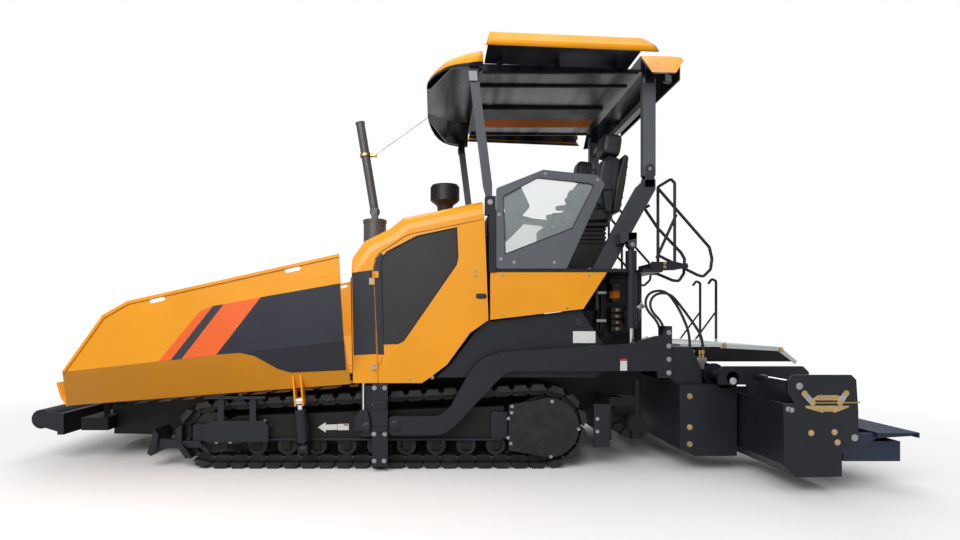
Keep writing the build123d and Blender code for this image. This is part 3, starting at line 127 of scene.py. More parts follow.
def shade(colour, factor):
    return tuple(min(1, c * factor) for c in colour[:3]) + (1,)


class Nodes:
    """A material with its node tree, and short ways to add to it."""

    def __init__(self, name):
        self.material = bpy.data.materials.new(name)
        self.material.use_nodes = True
        self.tree = self.material.node_tree
        self.shader = self.tree.nodes["Principled BSDF"]
        self.coordinates = self.add("ShaderNodeTexCoord").outputs["Object"]

    def link(self, output, target):
        self.tree.links.new(output, target)

    def feed(self, target, value):
        """Link an output to the target, or set the target to a plain value."""
        if isinstance(value, bpy.types.NodeSocket):
            self.link(value, target)
        else:
            target.default_value = value

    def add(self, kind, **values):
        """New node; each value goes to the input of that name, or else to the node's own setting."""
        node = self.tree.nodes.new(kind)
        for key, value in values.items():
            if key in node.inputs.keys():
                self.feed(node.inputs[key], value)
            else:
                setattr(node, key, value)
        return node

    def surface(self, key, value):
        self.feed(self.shader.inputs[key], value)

    def math(self, operation, *values):
        node = self.add("ShaderNodeMath", operation=operation)
        for target, value in zip(node.inputs, values):
            self.feed(target, value)
        return node.outputs[0]

    def split(self, vector):
        return self.add("ShaderNodeSeparateXYZ", Vector=vector).outputs

    def noise(self, scale, detail=4, rough=0.55):
        node = self.add("ShaderNodeTexNoise", Scale=scale, Detail=detail, Roughness=rough,
                        Vector=self.coordinates)
        return node.outputs["Fac"]

    def span(self, value, low, high, out_low=0, out_high=1):
        limits = {"From Min": low, "From Max": high, "To Min": out_low, "To Max": out_high}
        return self.add("ShaderNodeMapRange", Value=value, **limits).outputs["Result"]

    def cloud(self, scale, detail, low, high, out_low=0, out_high=1, rough=0.55):
        """Noise, cut to a range and spread over another."""
        return self.span(self.noise(scale, detail, rough), low, high, out_low, out_high)

    def mix(self, factor, first, second):
        node = self.add("ShaderNodeMix", data_type="RGBA")
        for index, value in ((0, factor), (6, first), (7, second)):
            self.feed(node.inputs[index], value)
        return node.outputs[2]

    def bump(self, height, strength, distance=0.002):
        node = self.add("ShaderNodeBump", Strength=strength, Distance=distance, Height=height)
        self.surface("Normal", node.outputs["Normal"])


DUST = linear(128, 116, 98)
SOIL = linear(92, 84, 74)


def paint(name, colour, rough=0.32, dust=0.12, coat=0.2, low_dirt=0.2, shine=0.5):
    """Sprayed paint: slight cloudiness, dust that settles low and in patches, faint orange peel."""
    n = Nodes(name)
    base = n.mix(n.cloud(1.3, 5, 0.35, 0.7), shade(colour, 0.94), shade(colour, 1.05))
    low = n.span(n.split(n.coordinates)["Z"], 0.1, 1.4, low_dirt, 0)
    amount = n.math("MULTIPLY_ADD", n.cloud(3.1, 8, 0.48, 0.75, rough=0.65), dust, low)
    n.surface("Base Color", n.mix(n.math("MULTIPLY", amount, dust * 2), base, DUST))
    n.surface("Roughness", n.cloud(2.2, 6, 0.3, 0.75, rough - 0.06, rough + 0.14))
    n.surface("Coat Weight", coat)
    n.surface("Coat Roughness", 0.18)
    n.surface("Specular IOR Level", shine)
    n.bump(n.noise(420, 2), 0.05, 0.0006)
    return n.material


def metal(name, colour, rough=0.35, streak=30, wear=0.15):
    """Bare metal with fine scratches and stains."""
    n = Nodes(name)
    n.surface("Base Color", n.mix(n.cloud(9, 7, 0.4, 0.75, rough=0.6), colour, shade(colour, 1 - wear * 2)))
    n.surface("Metallic", 1)
    n.surface("Roughness", n.cloud(streak, 6, 0.3, 0.7, rough - 0.08, rough + 0.16))
    n.bump(n.noise(streak * 12, 3), 0.08, 0.0005)
    return n.material


def rubber(name, colour, rough=0.62, grain=600, strength=0.15):
    n = Nodes(name)
    n.surface("Base Color", n.mix(n.cloud(6, 6, 0.4, 0.7), colour, shade(colour, 1.6)))
    n.surface("Roughness", n.cloud(11, 5, 0.3, 0.7, rough - 0.08, rough + 0.1))
    n.bump(n.noise(grain, 4), strength, 0.0008)
    return n.material


def cast(name, colour, rough=0.55, soil=0.35):
    """Rough rolled or cast steel with dried soil in patches."""
    n = Nodes(name)
    patch = n.math("MULTIPLY", n.cloud(7, 9, 0.45, 0.7, rough=0.7), soil)
    n.surface("Base Color", n.mix(patch, colour, SOIL))
    n.surface("Metallic", 0.35)
    n.surface("Roughness", n.cloud(25, 6, 0.3, 0.7, rough - 0.1, rough + 0.15))
    n.bump(n.noise(160, 6, 0.65), 0.3, 0.0015)
    return n.material


def punched(name, colour, pitch=0.011):
    """Dark sheet with rows of small round holes."""
    n = Nodes(name)
    grid = n.add("ShaderNodeVectorMath", operation="SCALE", Scale=1 / pitch, Vector=n.coordinates)
    cell = n.add("ShaderNodeVectorMath", operation="FRACTION", Vector=grid.outputs[0])
    parts = n.split(cell.outputs[0])
    flat = n.add("ShaderNodeCombineXYZ", X=parts["X"], Y=parts["Z"])
    away = n.add("ShaderNodeVectorMath", operation="DISTANCE", Vector=flat.outputs[0])
    away.inputs[1].default_value = (0.5, 0.5, 0)
    hole = n.span(away.outputs["Value"], 0.30, 0.36, 1, 0)
    sheet_colour = n.mix(n.cloud(2.5, 6, 0.35, 0.75), colour, shade(colour, 1.5))
    n.surface("Base Color", n.mix(hole, sheet_colour, shade(colour, 0.12)))
    n.surface("Roughness", 0.5)
    n.bump(n.span(hole, 0, 1, 1, 0), 0.5)
    return n.material


def pane(name, tint):
    n = Nodes(name)
    n.surface("Base Color", n.mix(n.cloud(1.5, 4, 0.3, 0.7), tint, shade(tint, 0.9)))
    n.surface("Alpha", 0.22)
    n.surface("Roughness", 0.06)
    n.surface("Specular IOR Level", 0.8)
    return n.material


def lamp_lens(name):
    """Clear lens over a pattern of small cells."""
    n = Nodes(name)
    cells = n.add("ShaderNodeTexVoronoi", feature="F1", Scale=160, Vector=n.coordinates).outputs["Distance"]
    n.surface("Base Color", n.mix(n.span(cells, 0, 0.7), linear(225, 228, 230), linear(150, 155, 160)))
    n.surface("Roughness", 0.1)
    n.bump(cells, 0.3)
    return n.material


def display(name):
    """Dark display glass with faint rows of symbols."""
    n = Nodes(name)
    grid = n.add("ShaderNodeTexBrick", Scale=26, Color1=linear(40, 62, 70), Color2=linear(28, 40, 52),
                 Mortar=linear(12, 14, 18), Vector=n.coordinates)
    grid.inputs["Mortar Size"].default_value = 0.08
    n.surface("Base Color", grid.outputs["Color"])
    n.surface("Roughness", 0.12)
    return n.material


def two_tone(name, outer, inner, rule, low=0.2):
    """Paint outside and a glossy dark inside, told apart by the face's own direction and place; lighter
    streaks in the inside's colour are painted highlights.
    """
    n = Nodes(name)
    facing = n.split(n.add("ShaderNodeTexCoord").outputs["Normal"])
    mask = rule(n.math, facing, n.split(n.coordinates))
    bright = n.mix(n.cloud(1.3, 5, 0.35, 0.7), shade(outer, 0.94), shade(outer, 1.05))
    # Stretched noise: along its streaks the inside's colour is lightened as painted highlights, and its
    # specular level is raised
    stretch = n.add("ShaderNodeMapping", Vector=n.coordinates, Scale=(2.6, 0.25, 0.6))
    streak = n.add("ShaderNodeTexNoise", Scale=1.6, Detail=4.0,
                   Vector=stretch.outputs["Vector"]).outputs["Fac"]
    # Painted highlights: the dark inside mixed with a lighter copy of itself along the streaks
    dark = n.mix(n.span(streak, 0.42, 0.66), inner, shade(inner, 2.2))
    n.surface("Base Color", n.mix(mask, dark, bright))
    gleam = n.span(streak, 0.43, 0.6, 0.1, 0.5)
    n.surface("Specular IOR Level", n.math("MAXIMUM", gleam, n.math("MULTIPLY", mask, 0.32)))
    rough = n.cloud(2.2, 6, 0.3, 0.75, 0.44 - low, 0.56 - low)
    n.surface("Roughness", n.math("MULTIPLY_ADD", mask, low - 0.1, rough))
    n.bump(n.noise(420, 2), 0.05, 0.0006)
    return n.material


def skin_rule(calc, facing, place):
    return calc("GREATER_THAN", facing["Z"], 0.02)


def roof_rule(calc, facing, place):
    """Yellow on the rear cap's top and on the upright faces at both ends."""
    up = calc("GREATER_THAN", facing["Z"], 0.05)
    zone = calc("GREATER_THAN", place["X"], CAP_SEAM)
    rear = calc("GREATER_THAN", place["X"], ROOF_REAR)
    ends = calc("MAXIMUM", calc("LESS_THAN", place["X"], ROOF_FRONT), rear)
    upright = calc("LESS_THAN", calc("ABSOLUTE", facing["Z"]), 0.05)
    return calc("MAXIMUM", calc("MULTIPLY", up, zone), calc("MULTIPLY", ends, upright))


def awning_rule(calc, facing, place):
    """Yellow on top, on the outer band and on its ends."""
    up = calc("GREATER_THAN", facing["Z"], 0.05)
    outer = calc("GREATER_THAN", calc("ABSOLUTE", place["Y"]), AWNING_BAND)
    outward = calc("GREATER_THAN", calc("MULTIPLY", facing["Y"], place["Y"]), 0.5)
    edge = calc("GREATER_THAN", calc("ABSOLUTE", facing["X"]), 0.6)
    return calc("MAXIMUM", up, calc("MULTIPLY", outer, calc("MAXIMUM", outward, edge)))


def cover_rule(calc, facing, place):
    """Light sheet below the foot of the rails."""
    return calc("LESS_THAN", place["Z"], RAIL_FOOT)


YELLOW = linear(250, 164, 6)
CHARCOAL = linear(38, 41, 51)
DARK = linear(23, 27, 35)
UNDERSIDE = linear(22, 25, 34)

m_yellow = paint("paint_yellow", YELLOW, 0.34, 0.04, coat=0.08, low_dirt=0.02)
m_charcoal = paint("paint_charcoal", CHARCOAL, 0.38, 0.04, coat=0.05, low_dirt=0.05, shine=0.35)
m_orange = paint("decal_orange", linear(252, 104, 34), 0.36, 0.04)
m_stripe = paint("decal_dark", CHARCOAL, 0.38, 0.05)
m_dark = paint("paint_dark_grey", DARK, 0.44, 0.06, coat=0.03, low_dirt=0.08, shine=0.33)
m_post = paint("paint_post_grey", linear(66, 71, 78), 0.36, 0.08)
m_frame = paint("paint_frame_black", linear(13, 14, 18), 0.5, 0.08, coat=0.02, low_dirt=0.08, shine=0.25)
m_walk = paint("paint_slate", linear(24, 38, 66), 0.5, 0.03, coat=0.03, low_dirt=0.05)
m_track = cast("track_steel", linear(26, 26, 29), 0.5, 0.25)
m_iron = cast("cast_iron", linear(34, 34, 37), 0.48, 0.2)
m_zinc = metal("zinc_plated", linear(196, 168, 118), 0.34)
m_steel = metal("plain_steel", linear(170, 172, 175), 0.32)
m_chrome = metal("rod_chrome", linear(215, 217, 220), 0.12, 14, 0.05)
m_pipe = cast("exhaust_steel", linear(84, 84, 84), 0.45, 0.15)
# Moulded black parts; the same black also colours the discs painted as shade in holes and slots
m_black_and_hole_shade = rubber("moulded_black_and_hole_shade", linear(20, 20, 22), 0.5, 500, 0.12)
m_hose = rubber("hose_rubber", linear(22, 22, 24), 0.55, 900, 0.2)
m_seat = rubber("seat_vinyl", linear(27, 29, 34), 0.48, 350, 0.25)
m_mesh = punched("punched_sheet", linear(30, 30, 33))
m_glass = pane("pane_glass", linear(214, 226, 226))
m_white = paint("decal_white", linear(228, 228, 224), 0.4, 0.05)
m_pale = paint("band_pale_grey", linear(150, 155, 160), 0.4, 0.05)
m_screen_frame = paint("paint_screen_grey", linear(88, 92, 97), 0.36, 0.06)
# Amber for the filter band; on the bay strip it stands for yellow paint made darker and oranger, painted
# shade
m_amber_and_shaded_yellow = paint("paint_amber_and_shaded_yellow", linear(232, 130, 20), 0.6, 0.03, coat=0, shine=0.15)
# Painted light: the post grey made lighter for the rear posts, against the shade they stand in
m_post_grey_lit = paint("paint_post_grey_lit", linear(88, 93, 100), 0.36, 0.05)
m_pillar = paint("paint_pillar", linear(46, 50, 55), 0.38, 0.05, coat=0.1)
m_red = paint("decal_red", linear(200, 60, 48), 0.4, 0.05)
m_lens = lamp_lens("lamp_lens")
m_screen = display("display_glass")
m_roof = two_tone("roof_two_tone", YELLOW, UNDERSIDE, roof_rule)
m_skin = two_tone("skin_two_tone", YELLOW, UNDERSIDE, skin_rule)
m_awning = two_tone("awning_two_tone", YELLOW, UNDERSIDE, awning_rule, 0.0)
m_cover_rails = two_tone("cover_and_rails", linear(196, 201, 202), linear(24, 32, 56), cover_rule, 0.1)

NODE_MATERIALS = {
    m_yellow: "wing_{} engine_hood door_{} deck_side_panels",
    m_roof: "canopy_roof",
    m_awning: "awning_{}",
    m_screen_frame: "side_screens",
    m_frame: "main_frame track_frames front_apron hopper_bulkhead engine_block auger_box tow_points",
    m_dark: "tow_arms operator_deck main_screed screed_housing extension_{} end_gate_{} tow_guides "
            "track_guards side_tanks screed_tube_{} push_beam control_desk wing_barrel_{} lift_barrels "
            "push_roller_{} deck_handrails",
    m_post: "canopy_pillars front_posts",
    m_post_grey_lit: "rear_posts",
    m_cover_rails: "screed_covers",
    m_walk: "walkway_{}",
    m_track: "track_loops track_wheels conveyor auger_{}",
    m_mesh: "grille_{}",
    m_pipe: "exhaust_pipe exhaust_stack",
    m_black_and_hole_shade: "air_precleaner seats",
    m_chrome: "wing_rod_{} lift_rods lift_pistons",
    m_glass: "screen_glass",
}
for material, patterns in NODE_MATERIALS.items():
    for name in [pattern.format(label) for pattern in patterns.split() for label, hand in SIDES]:
        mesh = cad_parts[name].data
        if not mesh.materials:
            mesh.materials.append(material)
        for index in range(len(mesh.materials)):
            mesh.materials[index] = material


# Outlines and turned profiles
def oblong(x_low, z_low, x_high, z_high):
    return [(x_low, z_low), (x_high, z_low), (x_high, z_high), (x_low, z_high)]


def disc(cx, cz, radius, steps=24):
    turns = [2 * math.pi * k / steps for k in range(steps)]
    return [(cx + radius * math.cos(turn), cz + radius * math.sin(turn)) for turn in turns]


def rounded(points, radius, steps=5):
    """Outline with its corners rounded by short arcs."""
    out = []
    count = len(points)
    for i in range(count):
        before, here, after = (Vector(points[k % count]) for k in (i - 1, i, i + 1))
        first = before - here
        second = after - here
        reach = min(radius, first.length * 0.45, second.length * 0.45)
        start = here + first.normalized() * reach
        end = here + second.normalized() * reach
        for step in range(steps + 1):
            share = step / steps
            point = start * (1 - share) ** 2 + here * 2 * share * (1 - share) + end * share**2
            out.append((point.x, point.y))
    return out


def solid_rod(radius, length):
    return [(0, 0), (radius, 0), (radius, length), (0, length)]


def collar(inner, outer, length):
    return [(inner, 0), (outer, 0), (outer, length), (inner, length)]


# Pieces
def piece(name, data, material, body):
    o = bpy.data.objects.new(name, data)
    bpy.context.scene.collection.objects.link(o)
    data.materials.append(material)
    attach(o, body)
    return o


def from_bmesh(name, bm, material, body="base", smooth=False):
    bmesh.ops.recalc_face_normals(bm, faces=bm.faces)
    mesh = bpy.data.meshes.new(name)
    bm.to_mesh(mesh)
    bm.free()
    if smooth:
        mesh.shade_smooth()
    return piece(name, mesh, material, body)


def bridge(bm, first, second, closed=True):
    """Quads between two rows of vertices."""
    count = len(first)
    for i in range(count if closed else count - 1):
        k = (i + 1) % count
        bm.faces.new((first[i], first[k], second[k], second[i]))


def add_slab(bm, front, back):
    """Closed plate between two outlines in space that have the same number of corners."""
    first = [bm.verts.new(place) for place in front]
    second = [bm.verts.new(place) for place in back]
    bm.faces.new(first)
    bm.faces.new(list(reversed(second)))
    bridge(bm, first, second)


def add_prism(bm, outline, near, far):
    """Outline of (x, z) places, extruded between two values of y."""
    add_slab(bm, [(x, near, z) for x, z in outline], [(x, far, z) for x, z in outline])


def add_box(bm, low, high):
    add_prism(bm, oblong(low[0], low[2], high[0], high[2]), low[1], high[1])


def soften(o, width):
    """Rounded edges under smooth shading."""
    bevel = o.modifiers.new("edges", "BEVEL")
    bevel.width = width
    bevel.segments = 2
    bevel.limit_method = "ANGLE"
    bevel.angle_limit = math.radians(35)
    bevel.harden_normals = False
    o.data.shade_smooth()
    o.data.set_sharp_from_angle(angle=math.radians(40))
    return o


def prism(name, outline, near, far, material, body="base", edge=0.003):
    bm = bmesh.new()
    add_prism(bm, outline, near, far)
    o = from_bmesh(name, bm, material, body)
    return soften(o, edge) if edge else o


def boxes(name, spans, material, body="base", edge=0.004):
    bm = bmesh.new()
    for low, high in spans:
        add_box(bm, low, high)
    o = from_bmesh(name, bm, material, body)
    return soften(o, edge) if edge else o


def add_turned(bm, profile, origin, axis, steps=24):
    """Turned shape: profile is (radius, distance along the axis) from one end to the other."""
    direction = Vector(axis).normalized()
    side = direction.orthogonal().normalized()
    other = direction.cross(side)
    rings = []
    for radius, along in profile:
        centre = Vector(origin) + direction * along
        if radius < 1e-6:
            rings.append([bm.verts.new(centre)])
            continue
        turns = [2 * math.pi * step / steps for step in range(steps)]
        reaches = [side * radius * math.cos(turn) + other * radius * math.sin(turn) for turn in turns]
        rings.append([bm.verts.new(centre + reach) for reach in reaches])
    for first, second in zip(rings, rings[1:]):
        if len(first) > 1 and len(second) > 1:
            bridge(bm, first, second)
            continue
        tip, rim = (first, second) if len(first) == 1 else (second, first)
        for step in range(len(rim) if len(rim) > 1 else 0):
            bm.faces.new((tip[0], rim[step], rim[(step + 1) % steps]))


def turned(name, profile, origin, axis, material, body="base", steps=32):
    bm = bmesh.new()
    add_turned(bm, profile, origin, axis, steps)
    o = from_bmesh(name, bm, material, body, True)
    o.data.set_sharp_from_angle(angle=math.radians(35))
    return o


def add_bolt(bm, place, axis, radius=0.012, height=0.009, washer=True):
    """Hexagon head on its washer."""
    if washer:
        add_turned(bm, solid_rod(radius * 1.7, 0.002), place, axis, 14)
    head = [(radius * 1.15, 0.0015), (radius * 1.15, height * 0.8), (radius, height), (0, height)]
    add_turned(bm, head, place, axis, 6)


def bolts(name, places, axis, material, body="base", radius=0.012, height=0.009):
    bm = bmesh.new()
    for place in places:
        add_bolt(bm, place, axis, radius, height)
    return from_bmesh(name, bm, material, body)


def pipe(name, points, radius, material, body="base", smooth=True):
    """Round tube through points, as a curve with a bevel."""
    curve = bpy.data.curves.new(name, "CURVE")
    curve.dimensions = "3D"
    curve.bevel_depth = radius
    curve.bevel_resolution = 3
    curve.resolution_u = 6
    curve.use_fill_caps = True
    spline = curve.splines.new("NURBS" if smooth else "POLY")
    spline.points.add(len(points) - 1)
    for point, place in zip(spline.points, points):
        point.co = (*place, 1)
    if smooth:
        spline.order_u = 3
        spline.use_endpoint_u = True
    return piece(name, curve, material, body)


def bent_sheet(name, rows, thickness, offset, material, body):
    """Smooth sheet through rows of places."""
    bm = bmesh.new()
    lines = [[bm.verts.new(place) for place in row] for row in rows]
    for first, second in zip(lines, lines[1:]):
        bridge(bm, first, second, closed=False)
    o = from_bmesh(name, bm, material, body, True)
    wall = o.modifiers.new("sheet", "SOLIDIFY")
    wall.thickness = thickness
    wall.offset = offset
    return o


# Pieces on both sides at once, given for the right side; bodies is one name or a left-right pattern
def mirrored(place, hand):
    return (place[0], hand * place[1], place[2])


def both(name, outline, inner, outer, material, bodies="base", edge=0.003):
    made = []
    for label, hand in SIDES:
        body = bodies.format(label)
        made.append(prism(f"{name}_{label}", outline, hand * inner, hand * outer, material, body, edge))
    return made


def both_boxes(name, spans, material, bodies="base", edge=0.004):
    for label, hand in SIDES:
        sided = [(mirrored(low, hand), mirrored(high, hand)) for low, high in spans]
        boxes(f"{name}_{label}", sided, material, bodies.format(label), edge)


def both_pipes(name, points, radius, material, bodies="base", smooth=False):
    for label, hand in SIDES:
        run = [mirrored(point, hand) for point in points]
        pipe(f"{name}_{label}", run, radius, material, bodies.format(label), smooth)


def both_turned(name, profile, place, axis, material, bodies="base", steps=32):
    for label, hand in SIDES:
        spot = mirrored(place, hand)
        turned(f"{name}_{label}", profile, spot, mirrored(axis, hand), material, bodies.format(label), steps)


def decal(name, outline, y, material, bodies="base", lift=0.0015):
    """Thin flat plate on the outer face at y."""
    both(name, outline, y - 0.0005, y + lift, material, bodies, 0)


def both_bolts(name, places, y, material, bodies="base", radius=0.012, height=0.009):
    """Bolt heads on the outer side faces; places are (x, z)."""
    for label, hand in SIDES:
        spots = [(x, hand * y, z) for x, z in places]
        bolts(f"{name}_{label}", spots, (0, hand, 0), material, bodies.format(label), radius, height)


# Wing graphics, on the outer walls
wing_graphics = {
    "stripe_front": (m_orange, [(158.8, 361.2), (170.7, 360.1), (213, 305.9), (206, 308.5), (200, 311.3),
                                (196.5, 315)]),
    "stripe_gap": (m_stripe, [(170.7, 360.1), (181.5, 359), (223.8, 304.2), (213, 305.9)]),
    "stripe_rear": (m_orange, [(181.5, 359), (216.2, 354.7), (260.7, 297.2), (223.8, 304.2)]),
    "panel_upper": (m_charcoal, [(216.2, 354.7), (260.7, 297.2), (340, 283.3), (344, 341.5),
                                 (245.5, 352.2)]),
}
for graphic, (material, outline) in wing_graphics.items():
    decal(f"wing_{graphic}", picked(outline, WING), WING, material, "wing_{}", 0.0014)


# Dark panel going on below the crease, on the sloping lower plate
def on_lower_panel(px, py):
    """Point where the picture's ray meets the lower wing plate, which runs inward below the crease."""
    x, z = seen(px, py, -WING)
    for step in range(12):
        crease = height_at(x, CREASE)
        low = height_at(x, WING_EDGE)
        share = min(1, max(0, (crease - z) / (crease - low)))
        y = -WING + share * (WING - WING_FOOT)
        x, z = seen(px, py, y)
    return Vector((x, y, z))


flap = [(240, 352.6), (254.1, 355.7), (278, 368.7), (290.3, 372.4), (346, 369.9), (344, 341.6)]
flap_corners = [on_lower_panel(px, py) for px, py in flap]
for label, hand in SIDES:
    corners = [Vector((c.x, c.y * -hand, c.z)) for c in flap_corners]
    normal = Vector((0, hand, -0.8)).normalized()
    bm = bmesh.new()
    add_slab(bm, [c + normal * 0.0022 for c in corners], [c - normal * 0.004 for c in corners])
    from_bmesh(f"wing_panel_lower_{label}", bm, m_charcoal, f"wing_{label}")

# Hood: dark front strip, door strip, mesh windows, hinges, latch, fasteners
hood_strip = picked([(351.9, 272.8), (372.9, 269.9), (376.3, 354), (353.8, 355.2)], HOOD)
both("hood_strip", hood_strip, HOOD - 0.001, HOOD + 0.0014, m_charcoal, edge=0)
door_strip = [(-0.507, 1.04), (-0.5435, 1.797), (-0.5215, 1.903), (-0.478, 1.955), (-0.455, 1.94),
              (-0.4655, 1.915), (-0.4755, 1.865), (-0.4525, 1.135), (-0.448, 1.04)]
both("door_strip", door_strip, HOOD - 0.001, HOOD + 0.0013, m_charcoal, "door_{}", 0)
window = [(-0.478, 1.865), (-0.468, 1.915), (-0.420, 1.968), (-0.150, 2.108), (0.205, 2.185),
          (0.215, 1.920), (0.200, 1.850), (-0.270, 1.170), (-0.320, 1.140), (-0.455, 1.135)]
for sheet, (label, hand) in zip(both("window_mesh", window, 1.19, 1.194, m_mesh, "door_{}", 0), SIDES):
    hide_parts(f"grille_{label}")
ribs = []
for x in (-0.36, -0.24, -0.12, 0.0, 0.12):
    low = 1.145 if x < -0.3 else height_at(x, WINDOW_FOOT)
    high = height_at(x, WINDOW_FRONT if x < -0.15 else WINDOW_REAR)
    ribs.append(((x - 0.012, 1.165, low), (x + 0.012, 1.19, high - 0.01)))
both_boxes("window_ribs", ribs, m_frame, "door_{}", 0)
rim = [(x, HOOD - 0.0015, z) for x, z in window + window[:1]]
both_pipes("window_seal", rim, 0.006, m_black_and_hole_shade, "door_{}")
for end, x, z in (("low", -0.514, 0.965), ("high", -0.541, 1.730)):
    leaf = rounded(oblong(x + 0.004, z + 0.004, x + 0.04, z + 0.056), 0.008)
    both(f"hinge_leaf_{end}", leaf, HOOD, HOOD + 0.0045, m_steel, "door_{}", 0.001)
    base = rounded(oblong(x - 0.04, z - 0.056, x - 0.004, z - 0.004), 0.008)
    both(f"hinge_base_{end}", base, HOOD, HOOD + 0.0145, m_steel, edge=0.001)
latch = rounded(oblong(0.378, 1.545, 0.473, 1.591), 0.022)
both("latch_plate", latch, HOOD, HOOD + 0.006, m_black_and_hole_shade, "door_{}", 0.002)
paddle = rounded(oblong(0.392, 1.552, 0.456, 1.584), 0.014)
both("latch_paddle", paddle, HOOD + 0.006, HOOD + 0.015, m_black_and_hole_shade, "door_{}")
door_fasteners = [(0.375, 1.791), (0.375, 1.75), (-0.219, 0.815), (-0.015, 0.835)]
both_bolts("door_fasteners", door_fasteners, HOOD, m_zinc, "door_{}", 0.009, 0.007)
deck_panel_bolts = [(0.62, 1.40), (1.20, 1.46), (0.62, 1.75), (1.40, 1.75)]
both_bolts("deck_panel_bolts", deck_panel_bolts, 1.195, m_zinc, "base", 0.008, 0.006)
both_bolts("bracket_bolt", [(0.504, 2.411)], 1.2165, m_steel, "base", 0.014, 0.01)

# Vents in the hood's sloping roof
vents = []
for k in range(7):
    x = -0.05 + k * 0.045
    z = height_at(x, HOOD_TOP)
    vents.append(((x, 0.55, z - 0.004), (x + 0.022, 0.95, z + 0.007)))
both_boxes("hood_vents", vents, m_black_and_hole_shade, edge=0)

# Blank plates and labels, and a black disc painted as the shade in the tank's hole
decal("tank_label", picked(oblong(573, 331.3, 595.4, 343), TANK), TANK, m_white)
# Black disc where the tank has a hole: painted shade of the opening
both("tank_hole_shade_disc", disc(1.318, 1.333, 0.04), TANK - 0.0005, TANK + 0.01, m_black_and_hole_shade)
decal("arm_label", picked(oblong(620.2, 359, 627, 370.6), HEEL), HEEL, m_white, "screed")
both("arm_label_band", picked(oblong(620.2, 359, 627, 361), HEEL), HEEL + 0.001, HEEL + 0.0022, m_red,
     "screed", 0)
arrow = [(318, 427.3), (325.7, 422.1), (325.7, 424.6), (337.2, 424.4), (337.2, 429.8), (325.7, 430),
         (325.7, 432.5)]
decal("frame_arrow", picked(arrow, TRACK_SIDE), TRACK_SIDE, m_white)
label_outline = [(337.6, 424), (348.8, 423.8), (348.8, 430), (337.6, 430.2)]
decal("frame_label", picked(label_outline, TRACK_SIDE), TRACK_SIDE, m_white)
band_outline = [(344, 424.2), (348.4, 424.1), (348.4, 425.6), (344, 425.7)]
both("frame_label_band", picked(band_outline, TRACK_SIDE), TRACK_SIDE + 0.0012, TRACK_SIDE + 0.0022, m_red,
     edge=0)

# Tow arm: heel bolts, pin caps
both_bolts("heel_bolts", [(2.1, 0.88 + 0.12 * k) for k in range(4)], HEEL, m_steel, "screed", 0.013, 0.01)
pin_cap = [(0, 0), (0.052, 0), (0.052, 0.008), (0.03, 0.016), (0, 0.016)]
both_turned("tow_pin_cap", pin_cap, (-0.345, HEEL + 0.0005, 0.406), (0, 1, 0), m_dark, "screed")

# Track: pin heads on the links and bolts on the shoes
GAUGE = 0.99
LINK_FACE = 0.0702
SHOE_FACE = 0.022
PITCH = 0.16
LINE_LOW = 0.075
IDLER_RADIUS = 0.235
SPROCKET_RADIUS = PITCH / 2 / math.sin(math.radians(15))
IDLER = Vector((-2.05, LINE_LOW + IDLER_RADIUS))
SPROCKET = Vector((1.02, LINE_LOW + SPROCKET_RADIUS))


def heading(turn):
    return Vector((math.cos(turn), math.sin(turn)))


def track_stations():
    """Both ends of every link on the pitch line, as (x, z), where the part has them."""
    gap = SPROCKET.x - IDLER.x
    rise = SPROCKET.y - IDLER.y
    centres = math.hypot(gap, rise)
    widening = math.asin((SPROCKET_RADIUS - IDLER_RADIUS) / centres)
    lean = math.atan2(rise, gap) + widening
    straight = centres * math.cos(widening)
    first = (math.pi - lean) * IDLER_RADIUS
    last = (math.pi + lean) * SPROCKET_RADIUS
    loop = gap + first + straight + last
    count = round(loop / PITCH)
    square = math.radians(90) + lean

    def at(length):
        length %= loop
        if length < gap:
            return Vector((SPROCKET.x - length, LINE_LOW))
        length -= gap
        if length < first:
            return IDLER + heading(math.radians(270) - length / IDLER_RADIUS) * IDLER_RADIUS
        length -= first
        if length < straight:
            return IDLER + heading(square) * IDLER_RADIUS + heading(lean) * length
        return SPROCKET + heading(square - (length - straight) / SPROCKET_RADIUS) * SPROCKET_RADIUS

    ends = [at(k * loop / count) for k in range(count + 1)]
    return list(zip(ends, ends[1:]))


pin_head = [(0, 0), (0.021, 0), (0.021, 0.004), (0.014, 0.008), (0, 0.008)]
for label, hand in SIDES:
    heads = bmesh.new()
    shoes = bmesh.new()
    for here, there in track_stations():
        for side in (-1, 1):
            spot = (here.x, hand * (GAUGE + side * LINK_FACE), here.y)
            add_turned(heads, pin_head, spot, (0, side * hand, 0), 12)
        along = (there - here).normalized()
        outward = Vector((along.y, -along.x))
        for across in (-0.11, 0.11):
            for step in (-0.036, 0.036):
                place = (here + there) / 2 + along * step - outward * SHOE_FACE
                spot = (place.x, hand * (GAUGE + across), place.y)
                add_bolt(shoes, spot, (-outward.x, 0, -outward.y), 0.012, 0.013, False)
    from_bmesh(f"track_pins_{label}", heads, m_iron)
    from_bmesh(f"track_shoe_bolts_{label}", shoes, m_iron)

# Track frame: adjuster covers, holes, rail, drive cover's bolts, roller caps
FACE = TRACK_SIDE - 0.001
plate = picked([(214.5, 421.8), (264, 421.8), (264, 440.8), (241, 440.8), (241, 444), (214.5, 444)],
               ADJUSTER)
both("adjuster_plate", rounded(plate, 0.01), FACE, ADJUSTER, m_dark)
adjuster_bolts = [(216.8, 423.6), (247.1, 423.6), (265, 420.9), (261.4, 423.6), (216.3, 441.8),
                  (230.2, 441.8), (247.1, 437.9), (260.9, 437.9)]
both_bolts("adjuster_bolts", picked(adjuster_bolts, ADJUSTER), ADJUSTER, m_steel, "base", 0.01, 0.008)
cover = picked(oblong(192.5, 424.5, 212.5, 441.5), ADJUSTER - 0.005)
both("adjuster_cover", rounded(cover, 0.014), FACE, ADJUSTER - 0.005, m_dark)
